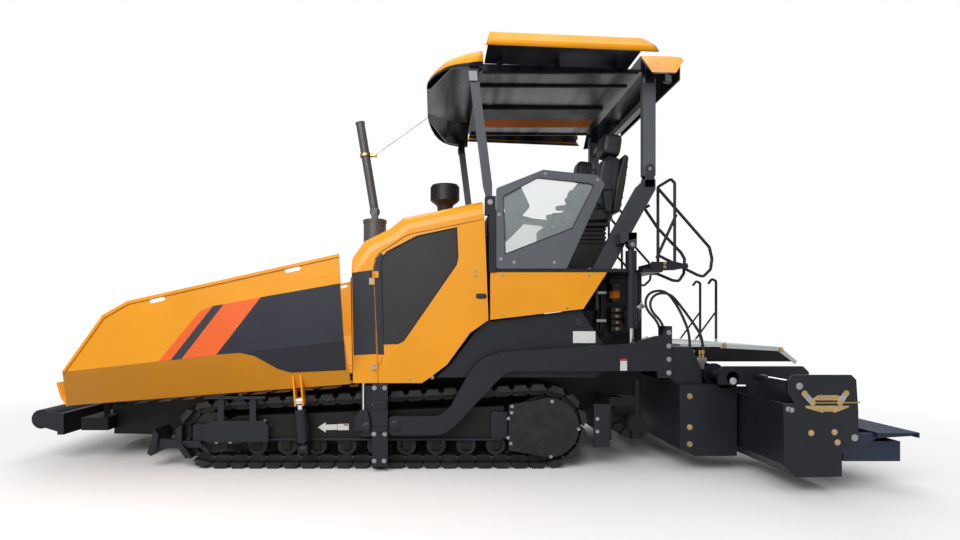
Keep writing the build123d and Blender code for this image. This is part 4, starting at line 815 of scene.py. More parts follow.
# Black discs where the frame has holes: painted shade of the openings
for height, py in (("high", 425.4), ("low", 432.5)):
    decal(f"frame_hole_{height}", disc(*seen(270.4, py, -TRACK_SIDE), 0.017), TRACK_SIDE, m_black_and_hole_shade,
          lift=0.0025)
both("frame_rail", oblong(-1.6, 0.247, 0.62, 0.268), FACE, 1.108, m_dark)
cover_bolts = [(552.1, 401.4), (512, 406.4), (511.6, 412.7), (508.4, 418.4), (508, 437.7), (510.7, 443.4),
               (550.9, 456.8), (578.6, 429.1)]
both_bolts("drive_cover_bolts", picked(cover_bolts, TANK), TANK, m_steel, "base", 0.009, 0.007)
both("drive_plate", oblong(0.52, 0.268, 0.675, 0.512), FACE, 1.112, m_dark, edge=0.006)
roller_cap = [(0.06, 0), (0.052, 0.006), (0.03, 0.006), (0.03, 0.012), (0, 0.014)]
for label, hand in SIDES:
    bm = bmesh.new()
    for k in range(9):
        add_turned(bm, roller_cap, (-1.630 + k * 0.275, hand * 1.0552, 0.1943), (0, hand, 0), 20)
    from_bmesh(f"roller_caps_{label}", bm, m_iron, "base", True)

# Scraper in front of the idler, carried by an arm from the track frame
arm = picked([(160, 438), (200, 441.5), (203, 444.5), (203, 447.5), (160, 447.5)], ADJUSTER)
blade = picked([(156.5, 428.5), (161, 434), (158, 449.5), (153.5, 455), (149.5, 452.5), (153, 441)],
               ADJUSTER)
strut = picked([(195, 444), (200, 441.5), (211, 451.5), (208, 453.8)], ADJUSTER)
both("scraper_arm", arm, 1.086, 1.12, m_dark)
both("scraper_blade", blade, 0.84, 1.15, m_dark, edge=0.004)
both("scraper_strut", strut, 1.086, 1.11, m_dark)

# Guide channel: clamps and bolts; block, pin cap and rod of the tow point cylinder
for height, top, bottom in (("high", 400.8, 409), ("low", 426.6, 431.8)):
    clamp = rounded(picked(oblong(372.6, top, 386.8, bottom), GUIDE), 0.008)
    both(f"guide_clamp_{height}", clamp, GUIDE - 0.004, GUIDE + 0.014, m_dark)
guide_bolts = [(374.3, 388), (384.6, 388), (374.3, 404.4), (384.6, 404.4), (373.9, 434), (384.6, 434),
               (374, 461), (384, 461)]
both_bolts("guide_bolts", picked(guide_bolts, GUIDE), GUIDE - 0.003, m_steel)
lug = [(-0.72, 0.352), (-0.575, 0.352), (-0.575, 0.46), (-0.6, 0.545), (-0.665, 0.545), (-0.72, 0.46)]
rod_pin = [(0, 0), (0.045, 0), (0.045, 0.012), (0.036, 0.018), (0, 0.018)]
both_pipes("tow_rod", [(-0.636, 1.188, 0.42), (-0.636, 1.188, 0.783)], 0.011, m_chrome)
both("tow_rod_lug", rounded(lug, 0.015), 1.172, 1.206, m_dark, edge=0.005)
both_turned("tow_rod_pin", rod_pin, (-0.607, 1.205, 0.392), (0, 1, 0), m_black_and_hole_shade)

# Mud plate between the track and the augers
both("mud_plate", oblong(1.458, 0.19, 1.602, 0.585), 1.108, 1.128, m_dark)
both_bolts("mud_plate_bolts", [(1.49, 0.45), (1.49, 0.335)], 1.128, m_steel, "base", 0.01, 0.008)

# Screed side, end gate's linkage, levers and rod
side_bolts = picked([(689.7, 396.2), (689.7, 427.1), (689.7, 444.1)], SCREED)
both_bolts("screed_side_bolts", side_bolts, SCREED, m_zinc, "screed", 0.015, 0.012)
# Black disc where the screed side has a hole: painted shade of the opening
decal("screed_side_hole_shade", disc(*seen(684.6, 405.3, -SCREED), 0.012), SCREED, m_black_and_hole_shade, "screed")
link_places = {
    "gate_link_high": [(812.6, 400.3), (812.6, 398.8), (817.7, 395), (837.1, 395), (845.3, 398.8),
                       (845.3, 400.3)],
    "gate_link_low": [(804.9, 405.6), (848.3, 405.6), (849.1, 407), (838.1, 411.4), (818.6, 411.8),
                      (805.8, 407.9)],
}
for name, outline in link_places.items():
    both(name, picked(outline, GATE), GATE - 0.001, GATE + 0.004, m_zinc, "extension_{}", 0.001)


def gate_bolts(name, places, lift, material, radius, height, plane=GATE):
    both_bolts(name, picked(places, plane), GATE + lift, material, "extension_{}", radius, height)


link_bolts = [(821.8, 397.7), (834, 397.7), (821.6, 409.7), (834.2, 409.7)]
gate_bolts("gate_link_bolts", link_bolts, 0.003, m_zinc, 0.013, 0.006)
gate_bolts("gate_bolts", [(811.1, 433), (834.4, 432.1), (837.4, 442.4)], 0, m_zinc, 0.014, 0.008)
# Black plate where the gate has a slot: painted shade of the opening
slot = rounded(picked(oblong(784.8, 407, 794.6, 411.8), GATE), 0.018)
both("gate_slot", slot, GATE - 0.001, GATE + 0.001, m_black_and_hole_shade, "extension_{}", 0)
gate_bolts("gate_slot_bolts", [(788, 409), (791.6, 410)], 0.001, m_steel, 0.012, 0.007)


def lever_outline(start, end, radius):
    """Flat bar with round ends between two places."""
    run = (Vector(end) - Vector(start)).normalized()
    angle = math.atan2(run.y, run.x)
    points = []
    for centre, begin in ((end, angle - math.pi / 2), (start, angle + math.pi / 2)):
        for step in range(9):
            turn = begin + math.pi * step / 8
            points.append((centre[0] + radius * math.cos(turn), centre[1] + radius * math.sin(turn)))
    return points


for number, ends in enumerate(([(803.8, 393.4), (812, 402.6)], [(845.5, 393.2), (839.4, 402.6)])):
    lever = lever_outline(*picked(ends, GATE), 0.022)
    both(f"gate_lever_{number}", lever, GATE + 0.0035, GATE + 0.0075, m_steel, "extension_{}", 0.001)
    gate_bolts(f"gate_lever_bolts_{number}", ends, 0.0065, m_zinc, 0.014, 0.004)
rod_ends = picked([(809, 402.8), (859.5, 402.4)], GATE)
both_pipes("gate_rod", [(x, GATE + 0.001, z) for x, z in rod_ends], 0.006, m_zinc, "extension_{}")
gate_bolts("gate_pins", [(797, 385.7), (851.9, 436.9), (731, 380.6)], 0, m_steel, 0.016, 0.006, 1.9)

# Covers: hinge bolts; valve blocks, their fittings and the main hoses
both_bolts("cover_bolts", [(2.711, 1.113), (3.24, 1.075)], 1.0, m_zinc, "screed", 0.014, 0.01)
fitting = [(0, 0), (0.013, 0), (0.013, 0.02), (0.009, 0.02), (0.009, 0.03), (0.016, 0.034), (0.016, 0.068),
           (0, 0.068)]
blocks = [((2.36, 0.965, 0.955), (2.52, 1.06, 1.005)), ((2.40, 0.965, 0.895), (2.50, 1.06, 0.955))]
both_boxes("valve_block", blocks, m_steel, "screed")
both_boxes("valve_stand", [((2.43, 0.985, 0.774), (2.47, 1.04, 0.90))], m_dark, "screed")
for label, hand in SIDES:
    bm = bmesh.new()
    for x in (2.385, 2.415, 2.475, 2.505):
        add_turned(bm, fitting, (x, hand * 1.01, 1.004), (0, 0, 1), 12)
    for x in (2.38, 2.44, 2.50):
        add_turned(bm, solid_rod(0.012, 0.016), (x, hand * 1.059, 0.982), (0, hand, 0), 6)
    from_bmesh(f"valve_fittings_{label}", bm, m_zinc, "screed")

hose_routes = {
    "hose_long": [(2.135, -1.05, 1.19), (2.135, -1.05, 1.31), (1.99, -1.04, 1.455), (2.03, -1.03, 1.59),
                  (2.19, -1.02, 1.61), (2.31, -1.01, 1.47), (2.44, -1.01, 1.29), (2.505, -1.01, 1.18),
                  (2.505, -1.01, 1.072)],
    "hose_short": [(2.10, -1.05, 1.19), (2.10, -1.045, 1.31), (1.955, -1.02, 1.465), (1.995, -1.0, 1.61),
                   (2.16, -1.0, 1.635), (2.27, -1.0, 1.49), (2.345, -1.005, 1.33), (2.385, -1.01, 1.20),
                   (2.385, -1.01, 1.072)],
}
for name, route in hose_routes.items():
    for label, hand in SIDES:
        places = [(x, -hand * y, z) for x, y, z in route]
        hose = pipe(f"{name}_{label}", places, 0.012, m_hose, "screed")

# Extension cylinders between the support plate and the end gate
both_pipes("extension_cylinder", [(2.80, 1.39, 0.865), (2.80, 1.56, 0.865)], 0.026, m_dark, "extension_{}")
both_pipes("extension_rod", [(2.80, 1.55, 0.865), (2.80, 1.904, 0.865)], 0.0175, m_chrome, "extension_{}")

# Walkway tread: rows of raised buttons
for label, hand in SIDES:
    bm = bmesh.new()
    for row in range(10):
        for column in range(30):
            y = 0.925 + column * 0.0315 + (row % 2) * 0.0157
            place = (3.505 + row * 0.031, hand * y, 0.4695)
            add_turned(bm, [(0.006, 0), (0.004, 0.0025), (0, 0.003)], place, (0, 0, 1), 6)
    from_bmesh(f"walkway_tread_{label}", bm, m_walk, f"extension_{label}")


# Seats: crowned pads, shell, armrests, suspension
def pad(name, centre, half, lean, material, power, steps=14, channels=0, face=None):
    """Crowned cushion: a box of that half size blown towards round, leaning back by lean degrees about Y.

    Channels are sewn into one face, given as (axis across it, axis along it, sign)."""
    bm = bmesh.new()
    bmesh.ops.create_cube(bm, size=2)
    bmesh.ops.subdivide_edges(bm, edges=bm.edges[:], cuts=steps, use_grid_fill=True)
    turn = Matrix.Rotation(math.radians(lean), 3, "Y")
    for v in bm.verts:
        direction = v.co.normalized()
        total = sum(abs(c) ** (2 / power) for c in direction) ** (power / 2)
        v.co = direction / max(total, 1e-6)
        if channels:
            axis, along, sign = face
            depth = 0.16 * max(0, math.cos(v.co[along] * math.pi * channels)) ** 8
            side = v.co[axis] * sign
            if side > 0.5:
                v.co[axis] -= sign * depth * min(1, (side - 0.5) * 3)
        v.co = turn @ Vector(c * h for c, h in zip(v.co, half)) + Vector(centre)
    o = from_bmesh(name, bm, material, "base", True)
    smooth = o.modifiers.new("smooth", "SUBSURF")
    smooth.levels = 1
    smooth.render_levels = 1
    return o


seat_shell = rounded([(1.745, 2.40), (1.815, 2.40), (1.872, 2.70), (1.905, 2.95), (1.86, 2.975),
                      (1.79, 2.72)], 0.03)
arm_post = [(1.66, 2.40), (1.72, 2.40), (1.71, 2.625), (1.63, 2.625)]
for label, hand in SIDES:
    y = hand * 0.52
    cushion = pad(f"seat_cushion_{label}", (1.505, y, 2.372), (0.262, 0.245, 0.072), -3, m_seat, 0.36,
                  channels=3, face=(2, 0, 1))
    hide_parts("seats")
    pad(f"seat_back_{label}", (1.722, y, 2.69), (0.083, 0.235, 0.282), 9.5, m_seat, 0.36, channels=4,
        face=(0, 2, -1))
    pad(f"seat_head_{label}", (1.775, y, 3.10), (0.098, 0.142, 0.112), 8, m_seat, 0.42)
    for side in (-1, 1):
        arm_name = f"{side + 2}_{label}"
        pad(f"seat_arm_{arm_name}", (1.56, y + side * 0.285, 2.63), (0.17, 0.032, 0.03), -2, m_seat,
            0.42, 8)
        pad(f"seat_wing_{arm_name}", (1.672, y + side * 0.195, 2.70), (0.07, 0.045, 0.235), 9.5, m_seat,
            0.45, 8)
        prism(f"seat_arm_post_{arm_name}", arm_post, y + side * 0.262, y + side * 0.29, m_black_and_hole_shade)
    prism(f"seat_shell_{label}", seat_shell, y - 0.232, y + 0.232, m_black_and_hole_shade, edge=0.012)
    ribs = bmesh.new()
    for k in range(6):
        z = 2.47 + k * 0.075
        x = 1.822 + (z - 2.40) * 0.16
        add_box(ribs, (x, y - 0.19, z), (x + 0.012, y + 0.19, z + 0.028))
    from_bmesh(f"seat_shell_ribs_{label}", ribs, m_black_and_hole_shade)
    for name, side in (("in", -0.07), ("out", 0.07)):
        post = [(1.755, y + side, 2.90), (1.765, y + side, 3.04)]
        pipe(f"seat_head_post_{name}_{label}", post, 0.008, m_steel, smooth=False)
    fold = bmesh.new()
    foot = DECK + 0.03
    add_box(fold, (1.33, y - 0.20, DECK), (1.73, y + 0.20, foot))
    add_prism(fold, [(1.345, foot), (1.715, foot), (1.70, 2.10), (1.36, 2.10)], y - 0.185, y + 0.185)
    for k in range(4):
        z = 2.10 + k * 0.042
        pleat = [(1.375, z), (1.36, z + 0.021), (1.375, z + 0.042), (1.69, z + 0.042), (1.705, z + 0.021),
                 (1.69, z)]
        add_prism(fold, pleat, y - 0.17, y + 0.17)
    add_box(fold, (1.30, y - 0.215, 2.268), (1.72, y + 0.215, 2.312))
    soften(from_bmesh(f"seat_base_{label}", fold, m_black_and_hole_shade), 0.008)

# Control desk: pedestal, console, display, levers
desk = boxes("desk_pedestal", [((0.56, -0.26, DECK), (0.72, 0.26, 2.28))], m_dark, edge=0.02)
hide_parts("control_desk")
console = rounded([(0.545, 2.24), (0.545, 2.42), (0.62, 2.50), (0.88, 2.42), (0.93, 2.34), (0.80, 2.22)],
                  0.03)
prism("desk_console", console, -0.415, 0.415, m_dark, edge=0.015)
monitor = picked([(502.8, 194.8), (518.5, 188.8), (528.2, 208.9), (520.7, 217.6), (508.7, 218.6)], 0.3)
prism("desk_monitor", rounded(monitor, 0.02), -0.43, -0.17, m_black_and_hole_shade, edge=0.01)
glass_top = Vector((0.895, 2.728))
glass_foot = Vector((0.986, 2.532))
normal = Vector((glass_top.y - glass_foot.y, glass_foot.x - glass_top.x)).normalized()
glass = [glass_top + normal * 0.004, glass_foot + normal * 0.004, glass_foot - normal * 0.006,
         glass_top - normal * 0.006]
prism("desk_screen", glass, -0.41, -0.19, m_screen, edge=0.001)
pipe("desk_monitor_arm", [(0.80, -0.30, 2.40), (0.79, -0.30, 2.46), (0.84, -0.30, 2.50)], 0.016, m_black_and_hole_shade)
for number, y in enumerate((-0.16, 0.0, 0.16)):
    pipe(f"desk_lever_{number}", [(0.80, y, 2.43), (0.815, y, 2.50), (0.835, y, 2.56)], 0.007, m_steel)
    pad(f"desk_knob_{number}", (0.838, y, 2.575), (0.02, 0.02, 0.03), 12, m_black_and_hole_shade, 0.8, 4)
pad("desk_grip", (0.96, -0.30, 2.415), (0.085, 0.03, 0.022), 14, m_black_and_hole_shade, 0.6, 6)
pipe("desk_grip_arm", [(0.80, -0.30, 2.38), (0.88, -0.30, 2.40), (0.93, -0.30, 2.42)], 0.014, m_black_and_hole_shade)
button = [(0.011, -0.004), (0.011, 0.004), (0.008, 0.007), (0, 0.007)]
buttons = bmesh.new()
for row in range(3):
    for column in range(16):
        place = (0.66 + row * 0.065, -0.36 + column * 0.048, 2.492 - row * 0.020)
        add_turned(buttons, button, place, (0.29, 0, 0.957), 12)
from_bmesh("desk_buttons", buttons, m_steel)
side_console = rounded([(1.26, 2.40), (1.60, 2.43), (1.61, 2.52), (1.27, 2.50)], 0.02)
prism("middle_console", side_console, -0.16, 0.16, m_dark, edge=0.012)
console_foot = [(1.38, DECK), (1.52, DECK), (1.50, 2.42), (1.40, 2.42)]
prism("middle_console_foot", console_foot, -0.08, 0.08, m_dark, edge=0.01)

# Floor mat with ribs
mat = bmesh.new()
for row in range(22):
    y = -0.62 + row * 0.057
    add_box(mat, (0.98, y, DECK - 0.001), (1.24, y + 0.03, DECK + 0.005))
from_bmesh("deck_mat", mat, m_black_and_hole_shade)

# Side screens: rubber around the panes and frame fasteners
pane_line = [(0.640, 1.945), (0.620, 2.463), (0.927, 2.627), (1.390, 2.580), (1.434, 2.560), (1.241, 2.177)]
both_pipes("pane_seal", [(x, 1.2125, z) for x, z in pane_line + pane_line[:1]], 0.0045, m_black_and_hole_shade)
screen_bolts = [(0.60, 1.90), (0.585, 2.30), (1.08, 1.87), (0.72, 1.87), (1.47, 2.61), (1.0, 2.665)]
both_bolts("screen_bolts", screen_bolts, 1.212, m_steel, "base", 0.009, 0.007)

# Exhaust: clamp, rim, collar on the stack, wire to the canopy
lean = math.radians(9.4)
pipe_up = Vector((-math.sin(lean), 0, math.cos(lean)))
elbow = Vector((-0.622, -0.3, 2.486))
clamp_at = elbow + pipe_up * 0.59
turned("exhaust_clamp", collar(0.056, 0.0595, 0.026), clamp_at, pipe_up, m_zinc, "exhaust_pipe")
ears = [((clamp_at.x + 0.05, y, clamp_at.z), (clamp_at.x + 0.115, y + 0.008, clamp_at.z + 0.03))
        for y in (-0.33, -0.278)]
boxes("exhaust_clamp_ears", ears, m_zinc, "exhaust_pipe", 0.002)
ear_bolt = (clamp_at.x + 0.095, -0.33, clamp_at.z + 0.015)
bolts("exhaust_clamp_bolt", [ear_bolt], (0, -1, 0), m_zinc, "exhaust_pipe", 0.009, 0.008)
rim = [(0.046, -0.022), (0.0495, -0.02), (0.0495, 0), (0.042, 0.002)]
turned("exhaust_rim", rim, elbow + pipe_up * 0.955, pipe_up, m_pipe, "exhaust_pipe")
turned("exhaust_collar", collar(0.1185, 0.124, 0.03), (elbow.x, elbow.y, 2.365), (0, 0, 1), m_pipe,
       steps=40)
turns = [k * math.pi / 3 + 0.26 for k in range(6)]
spots = [(elbow.x + 0.098 * math.cos(turn), elbow.y + 0.098 * math.sin(turn), 2.399) for turn in turns]
bolts("exhaust_collar_bolts", spots, (0, 0, 1), m_steel, "base", 0.009, 0.008)
wire_start = Vector((clamp_at.x + 0.10, -0.30, clamp_at.z + 0.015))
wire_end = Vector((-0.045, 0.33, 3.712))
run = wire_end - wire_start
bm = bmesh.new()
add_turned(bm, solid_rod(0.0035, run.length), wire_start, run, 8)
wire = from_bmesh("exhaust_wire", bm, m_steel, "exhaust_pipe", True)
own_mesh(wire)

# Air precleaner: neck, flared bowl with fins and a domed lid
CLEANER = Vector((0.121, 0, 0))
bowl_profile = [(0, 0), (0.085, 0), (0.085, 0.235), (0.10, 0.262), (0.152, 0.30), (0.152, 0.46),
                (0.146, 0.475), (0.10, 0.484), (0.03, 0.486), (0.03, 0.478), (0, 0.478)]
cleaner = bmesh.new()
add_turned(cleaner, bowl_profile, (CLEANER.x, 0, 2.355), (0, 0, 1), 48)
for k in range(40):
    turn = 2 * math.pi * k / 40
    side = Vector((math.cos(turn), math.sin(turn), 0))
    across = Vector((-side.y, side.x, 0)) * 0.004
    corners = [(0.150, -1), (0.160, -1), (0.160, 1), (0.150, 1)]
    foot, head = ([CLEANER + side * reach + across * shift + Vector((0, 0, z)) for reach, shift in corners]
                  for z in (2.665, 2.81))
    add_slab(cleaner, foot, head)
bowl = from_bmesh("precleaner_bowl", cleaner, m_black_and_hole_shade, "base", True)
bowl.data.set_sharp_from_angle(angle=math.radians(35))
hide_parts("air_precleaner")
turned("precleaner_band", collar(0.0855, 0.089, 0.02), (CLEANER.x, 0, 2.48), (0, 0, 1), m_steel, steps=40)


# Work lamps
def work_lamp(name, place, axis, body, size=(0.10, 0.085, 0.05)):
    """Lamp body with bezel and lens, facing along axis, hung from a short stem."""
    width, height, depth = size
    facing = Vector(axis)
    up = Vector((0, 0, 1))
    side = up.cross(facing)

    def outline(share_side, share_up, forward, radius):
        corners = rounded(oblong(-width / 2, -height / 2, width / 2, height / 2), radius, 4)
        middle = Vector(place) + facing * forward
        return [middle + side * a * share_side + up * b * share_up for a, b in corners]

    bm = bmesh.new()
    loops = []
    for share, forward in ((0.5, -1.0), (0.92, -0.55), (1.0, 0.0), (1.0, 0.55), (0.9, 0.60)):
        loops.append([bm.verts.new(spot) for spot in outline(share, share, forward * depth / 1.6, 0.018)])
    for first, second in zip(loops, loops[1:]):
        bridge(bm, first, second)
    bm.faces.new(loops[0])
    bm.faces.new(list(reversed(loops[-1])))
    from_bmesh(f"{name}_body", bm, m_black_and_hole_shade, body)
    lens = bmesh.new()
    add_slab(lens, outline(0.84, 0.80, depth * 0.385, 0.015), outline(0.84, 0.80, depth * 0.36, 0.015))
    from_bmesh(f"{name}_lens", lens, m_lens, body)
    stem = bmesh.new()
    top = Vector(place) - facing * depth * 0.2 + up * height / 2
    add_turned(stem, solid_rod(0.008, 0.05), top - up * 0.004, up, 10)
    add_turned(stem, solid_rod(0.02, 0.004), top + up * 0.04, up, 14)
    from_bmesh(f"{name}_stem", stem, m_black_and_hole_shade, body)


for label, hand in SIDES:
    work_lamp(f"lamp_rear_{label}", (2.235, hand * 0.85, 3.665), (0.45, hand * 0.89, 0), "canopy_roof")

# Pale sleeves at the posts' tops
band = picked([(469.4, 80.6), (477.8, 80.6), (476.8, 70.6), (468.6, 70.6)], 1.2175)
ear = rounded(oblong(0.316, 3.506, 0.404, 3.634), 0.012)
both("post_band_rear", oblong(1.957, 3.575, 2.077, 3.612), 0.984, 0.9862, m_pale, "rear_posts", 0)
both("post_cap_front", band, 1.2145, 1.2175, m_pale, "canopy_roof", 0.001)
both("post_ear_face", ear, 1.214, 1.2165, m_dark, "canopy_roof", 0.001)

# Rear pillars, slanting from the deck to the knee under the folding posts
slant = [(1.958, 2.67), (1.958, 2.655), (1.90, 2.598), (1.475, DECK), (1.655, DECK), (2.076, 2.575),
         (2.076, 2.67)]
knee_ear = [(1.972, 2.60), (2.062, 2.60), (2.062, 2.775), (2.04, 2.81), (1.994, 2.81), (1.972, 2.775)]
lift_arm = [(1.70, 2.05), (1.85, 2.095), (1.85, 2.15), (1.70, 2.15)]
lift_ear = [(1.77, 2.03), (1.79, 2.01), (1.83, 2.01), (1.85, 2.03), (1.85, 2.15), (1.77, 2.15)]
pillar_plates = [(slant, 0.985, 0.915), (oblong(1.972, 2.60, 2.062, 2.665), 0.901, 0.999),
                 (knee_ear, 0.987, 0.999), (knee_ear, 0.901, 0.913), (lift_arm, 0.985, 1.135),
                 (lift_ear, 1.123, 1.135), (lift_ear, 1.045, 1.057)]
pillar_foot = rounded(oblong(1.44, DECK, 1.70, DECK + 0.014), 0.004, 2)
bracket = rounded([(2.06, 1.812), (2.06, 1.905), (2.30, 1.905), (2.414, 1.875), (2.414, 1.845),
                   (2.20, 1.822)], 0.008)
for label, hand in SIDES:
    bm = bmesh.new()
    for outline, near, far in pillar_plates:
        add_prism(bm, outline, hand * near, hand * far)
    pillar = soften(from_bmesh(f"pillar_{label}", bm, m_pillar), 0.003)
    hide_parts("canopy_pillars")
    spots = [(x, hand * y, DECK + 0.014) for x in (1.452, 1.69) for y in (0.895, 1.005)]
    bolts(f"pillar_foot_bolts_{label}", spots, (0, 0, 1), m_steel, "base", 0.011, 0.009)
both_turned("pillar_pin", solid_rod(0.016, 0.104), (2.017, 0.898, 2.765), (0, 1, 0), m_steel, steps=24)
both_turned("pillar_lift_pin", solid_rod(0.02, 0.094), (1.81, 1.043, 2.04), (0, 1, 0), m_steel, steps=24)
both("pillar_foot", pillar_foot, 0.88, 1.02, m_pillar)
both("step_bracket", bracket, 0.9005, 0.9105, m_dark)
both_bolts("step_bracket_bolts", [(2.19, 1.892), (2.19, 1.855)], 0.9105, m_zinc, "base", 0.009, 0.007)

# Hydraulics on the outer side of the frame's rear plates: pipes with clamps, filter, valve stack, pump
frame_pipes = ((1.585, 0.775, 1.20, 1.74), (1.615, 0.80, 1.18, 1.76), (1.645, 0.775, 1.22, 1.76),
               (1.955, 0.79, 1.34, 1.75), (1.985, 0.76, 1.36, 1.77))
filter_profile = [(0, 0), (0.04, 0), (0.048, 0.012), (0.048, 0.14), (0.055, 0.145), (0.055, 0.185),
                  (0, 0.185)]
pump = [(0, 0), (0.075, 0), (0.09, 0.02), (0.09, 0.12), (0.07, 0.15), (0.045, 0.165), (0.045, 0.21),
        (0.03, 0.22), (0, 0.22)]
port = [(0, 0), (0.03, 0), (0.03, 0.05), (0.04, 0.055), (0.04, 0.075), (0, 0.075)]
stack_fitting = [(0, 0), (0.017, 0), (0.017, 0.016), (0.011, 0.016), (0.011, 0.035), (0, 0.035)]
WALL = 0.716
STACK_FACE = 0.86
for number, (x, y, low, high) in enumerate(frame_pipes):
    middle = (x + 0.012, y + 0.015, (low + high) / 2)
    route = [(x, WALL, low), (x, y, low + 0.01), (x, y, low + 0.12), middle, (x, y, high - 0.12),
             (x, y, high - 0.02), (x, WALL, high)]
    both_pipes(f"frame_pipe_{number}", route, 0.0125, m_hose, smooth=True)
stack = [((1.70, WALL, z), (1.80, STACK_FACE, z + 0.052)) for z in (1.24, 1.30, 1.36, 1.42)]
both_boxes("valve_stack", stack, m_iron, edge=0.006)
both_boxes("pipe_clamps", [((1.565, WALL, z), (1.665, 0.82, z + 0.03)) for z in (1.33, 1.60)], m_steel)
both_turned("oil_filter", filter_profile, (1.745, 0.80, 1.52), (0, 0, 1), m_black_and_hole_shade)
both_turned("oil_filter_band", collar(0.048, 0.0495, 0.07), (1.745, 0.80, 1.56), (0, 0, 1), m_amber_and_shaded_yellow)
both_boxes("filter_head", [((1.68, WALL, 1.70), (1.81, STACK_FACE, 1.755))], m_iron, edge=0.008)
both_turned("pump_body", pump, (1.90, WALL, 1.40), (0, 1, 0), m_iron)
both_turned("pump_port", port, (1.955, 0.80, 1.455), (0.75, 0, 0.66), m_steel)
for label, hand in SIDES:
    bm = bmesh.new()
    for z in (1.266, 1.326, 1.386, 1.446):
        add_turned(bm, stack_fitting, (1.75, hand * STACK_FACE, z), (0, hand, 0), 6)
    from_bmesh(f"stack_fittings_{label}", bm, m_zinc)

# Screed machinery under the covers: beams, ribs and lines, inside a skirt; drive boxes
beams = [((2.44, 0.02, 0.985), (2.50, 0.93, 1.06)), ((3.06, 0.02, 0.985), (3.12, 0.93, 1.05))]
beams += [((2.44, y, 0.985), (3.12, y + 0.02, 1.05)) for y in (0.06, 0.35, 0.62, 0.91)]
both_boxes("screed_ribs", beams, m_frame, "screed")
for number, (x, z) in enumerate(((2.78, 1.0), (2.83, 1.03), (2.88, 1.0), (2.95, 1.02))):
    both_pipes(f"screed_line_{number}", [(x, 0.03, z), (x, 0.92, z)], 0.014, m_hose, "screed")
skirt = [(2.46, 1.095), (2.68, 1.093), (3.21, 1.058), (3.352, 0.962), (2.46, 0.962)]
both("cover_skirt", skirt, 0.962, 0.984, m_frame, "screed")
drive_box = rounded([(2.52, 0.962), (3.09, 0.962), (3.10, 0.975), (3.10, 1.045), (2.51, 1.045),
                     (2.51, 0.975)], 0.01)
for number, y in enumerate((-0.62, -0.30, 0.05, 0.37)):
    prism(f"drive_box_{number}", drive_box, y, y + 0.25, m_frame, "screed", 0.006)
    spots = [(3.10, y + step, z) for step in (0.04, 0.21) for z in (0.98, 1.03)]
    bolts(f"drive_box_bolts_{number}", spots, (1, 0, 0), m_steel, "screed", 0.009, 0.007)

# Dark cross beam, a yellow strip painted darker amber as painted shade, and edge bars under the roof's bay
BAY_TOP = 3.6985
boxes("bay_beam", [((0.50, -0.02, 3.664), (1.86, 0.31, BAY_TOP))], m_frame, "canopy_roof", 0.006)
# The strip's amber is painted shade over what is yellow paint
boxes("bay_strip", [((0.50, 0.33, 3.672), (1.86, 0.62, BAY_TOP))], m_amber_and_shaded_yellow, "canopy_roof", 0.002)
bars = [((0.46, y, 3.676), (1.93, y + 0.03, BAY_TOP)) for y in (-0.95, -0.62, 0.92)]
boxes("bay_edge_bars", bars, m_frame, "canopy_roof")


# Awnings: bent sheets with a leaning upper band and an upright lower one
def awning_shell(label, hand, columns=36):
    """Section is (y, share of the height from the lower edge to the top, drop below it)."""
    section = [(0.80, 1.0, 0.022), (1.20, 1.0, 0.022), (1.29, 1.0, 0.010), (1.350, 1.0, 0),
               (1.368, 0.975, 0), (1.378, 0.91, 0), (1.402, 0.40, 0), (1.4085, 0.36, 0),
               (1.4095, 0.30, 0), (1.4085, 0.0, 0)]
    rows = []
    for column in range(columns + 1):
        u = column / columns
        top = Vector((0.487 + 1.383 * u, 3.870 - 0.06 * u))
        low = Vector((0.448 + 1.498 * u, 3.737 - 0.061 * u))
        fall = max(0, (u - 0.93) / 0.07) ** 2 * 0.45
        row = []
        for y, share, drop in section:
            banded = y > 1.2
            place = low.lerp(top, min(share, 1 - fall) if banded else share)
            row.append((place.x if banded else top.x, hand * y, place.y - drop))
        rows.append(row)
    o = bent_sheet(f"awning_shell_{label}", rows, 0.015, -1, m_awning, f"awning_{label}")
    if sum(polygon.normal.z for polygon in o.data.polygons) < 0:
        o.data.flip_normals()
    o.data.set_sharp_from_angle(angle=math.radians(40))
    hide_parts(f"awning_{label}")


for label, hand in SIDES:
    awning_shell(label, hand)


# Front cap: smooth skin over the sheet, curved at its eaves
def cap_row(x, eave, eave_z, top_z, power, steps=28):
    """Flat-topped curve across the roof at x, from eave to eave; a higher power is squarer."""
    row = []
    for step in range(steps + 1):
        reach = math.cos(math.pi * step / steps)
        lift = max(0.0, 1 - abs(reach) ** power) ** 0.5
        row.append((x, -eave * reach, eave_z + (top_z - eave_z) * lift))
    return row


cap_stations = [(-0.0735, 0.43, 3.752, 3.775, 2.5), (-0.06, 0.60, 3.725, 3.79, 2.5),
                (-0.03, 0.76, 3.697, 3.80, 2.6), (0.01, 0.91, 3.672, 3.812, 2.8),
                (0.06, 1.03, 3.652, 3.824, 3.2), (0.12, 1.13, 3.640, 3.834, 4),
                (0.20, 1.195, 3.630, 3.845, 5), (0.30, 1.235, 3.622, 3.854, 7),
                (0.4385, 1.253, 3.616, 3.858, 9)]
bent_sheet("cap_skin_front", [cap_row(*station) for station in cap_stations], 0.006, 0, m_skin,
           "canopy_roof")

# Grips on the inner side of the awnings
grip = [(1.15, 1.385, 3.755), (1.15, 1.36, 3.735), (1.35, 1.36, 3.727), (1.35, 1.385, 3.745)]
both_pipes("awning_grip", grip, 0.006, m_black_and_hole_shade, "awning_{}")

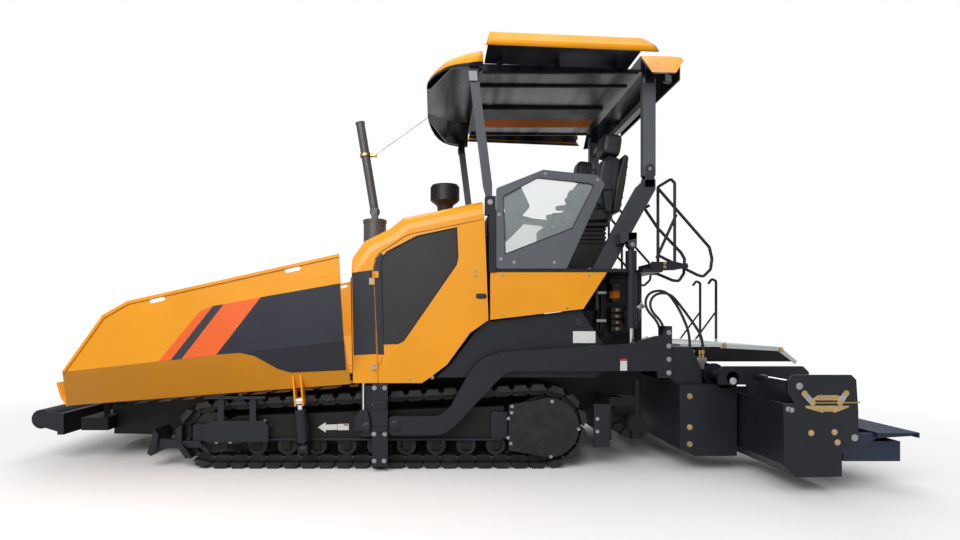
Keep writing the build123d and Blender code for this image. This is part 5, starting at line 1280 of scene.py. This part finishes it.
# Floor: pale where it is seen, greyer in the light it throws back, fading out far off
REACH = 40
floor_mesh = bpy.data.meshes.new("floor")
floor_mesh.from_pydata([(x, y, 0) for x, y in oblong(-REACH, -REACH, REACH, REACH)], [], [(0, 1, 2, 3)])
floor = bpy.data.objects.new("floor", floor_mesh)
bpy.context.scene.collection.objects.link(floor)
n = Nodes("floor_pale")
path = n.add("ShaderNodeLightPath").outputs
either = n.math("MAXIMUM", path["Is Glossy Ray"], path["Is Transmission Ray"])
direct = n.math("MAXIMUM", path["Is Camera Ray"], either)
pale = n.mix(n.noise(0.6, 3), linear(246, 246, 246), linear(250, 250, 250))
n.surface("Base Color", n.mix(direct, linear(92, 92, 95), pale))
n.surface("Roughness", 0.9)
distance = n.add("ShaderNodeVectorMath", operation="LENGTH", Vector=n.coordinates)
far_off = n.span(distance.outputs["Value"], 3.6, 7.5)
blend = n.add("ShaderNodeMixShader", Fac=n.math("MULTIPLY", far_off, direct))
n.link(n.shader.outputs[0], blend.inputs[1])
n.link(n.add("ShaderNodeEmission").outputs[0], blend.inputs[2])
output = next(node for node in n.tree.nodes if node.type == "OUTPUT_MATERIAL")
n.link(blend.outputs[0], output.inputs["Surface"])
floor_mesh.materials.append(n.material)

# World: white where it is seen, half as strong as light
world = bpy.data.worlds.new("world")
bpy.context.scene.world = world
world.use_nodes = True
tree = world.node_tree
tree.nodes.clear()
output = tree.nodes.new("ShaderNodeOutputWorld")
path = tree.nodes.new("ShaderNodeLightPath").outputs
choose = tree.nodes.new("ShaderNodeMixShader")
direct = tree.nodes.new("ShaderNodeMath")
direct.operation = "MAXIMUM"
tree.links.new(path["Is Camera Ray"], direct.inputs[0])
tree.links.new(path["Is Transmission Ray"], direct.inputs[1])
tree.links.new(direct.outputs[0], choose.inputs[0])
for slot, strength in ((1, 0.5), (2, 1)):
    sky = tree.nodes.new("ShaderNodeBackground")
    sky.inputs["Color"].default_value = (1, 1, 1, 1)
    sky.inputs["Strength"].default_value = strength
    tree.links.new(sky.outputs[0], choose.inputs[slot])
tree.links.new(choose.outputs[0], output.inputs["Surface"])


def lamp(name, place, target, size, power):
    data = bpy.data.lights.new(name, "AREA")
    data.shape = "RECTANGLE"
    data.size = size[0]
    data.size_y = size[1]
    data.energy = power
    o = bpy.data.objects.new(name, data)
    o.location = place
    o.rotation_euler = (Vector(target) - Vector(place)).to_track_quat("-Z", "Y").to_euler()
    bpy.context.scene.collection.objects.link(o)


lamp("key", (-3, -8, 6), (0, 0, 1.5), (7, 5), 620)
lamp("top", (1, 1, 9), (0, 0, 1), (8, 6), 260)
lamp("rear", (5, 6, 6), (0, 0, 1), (5, 4), 160)
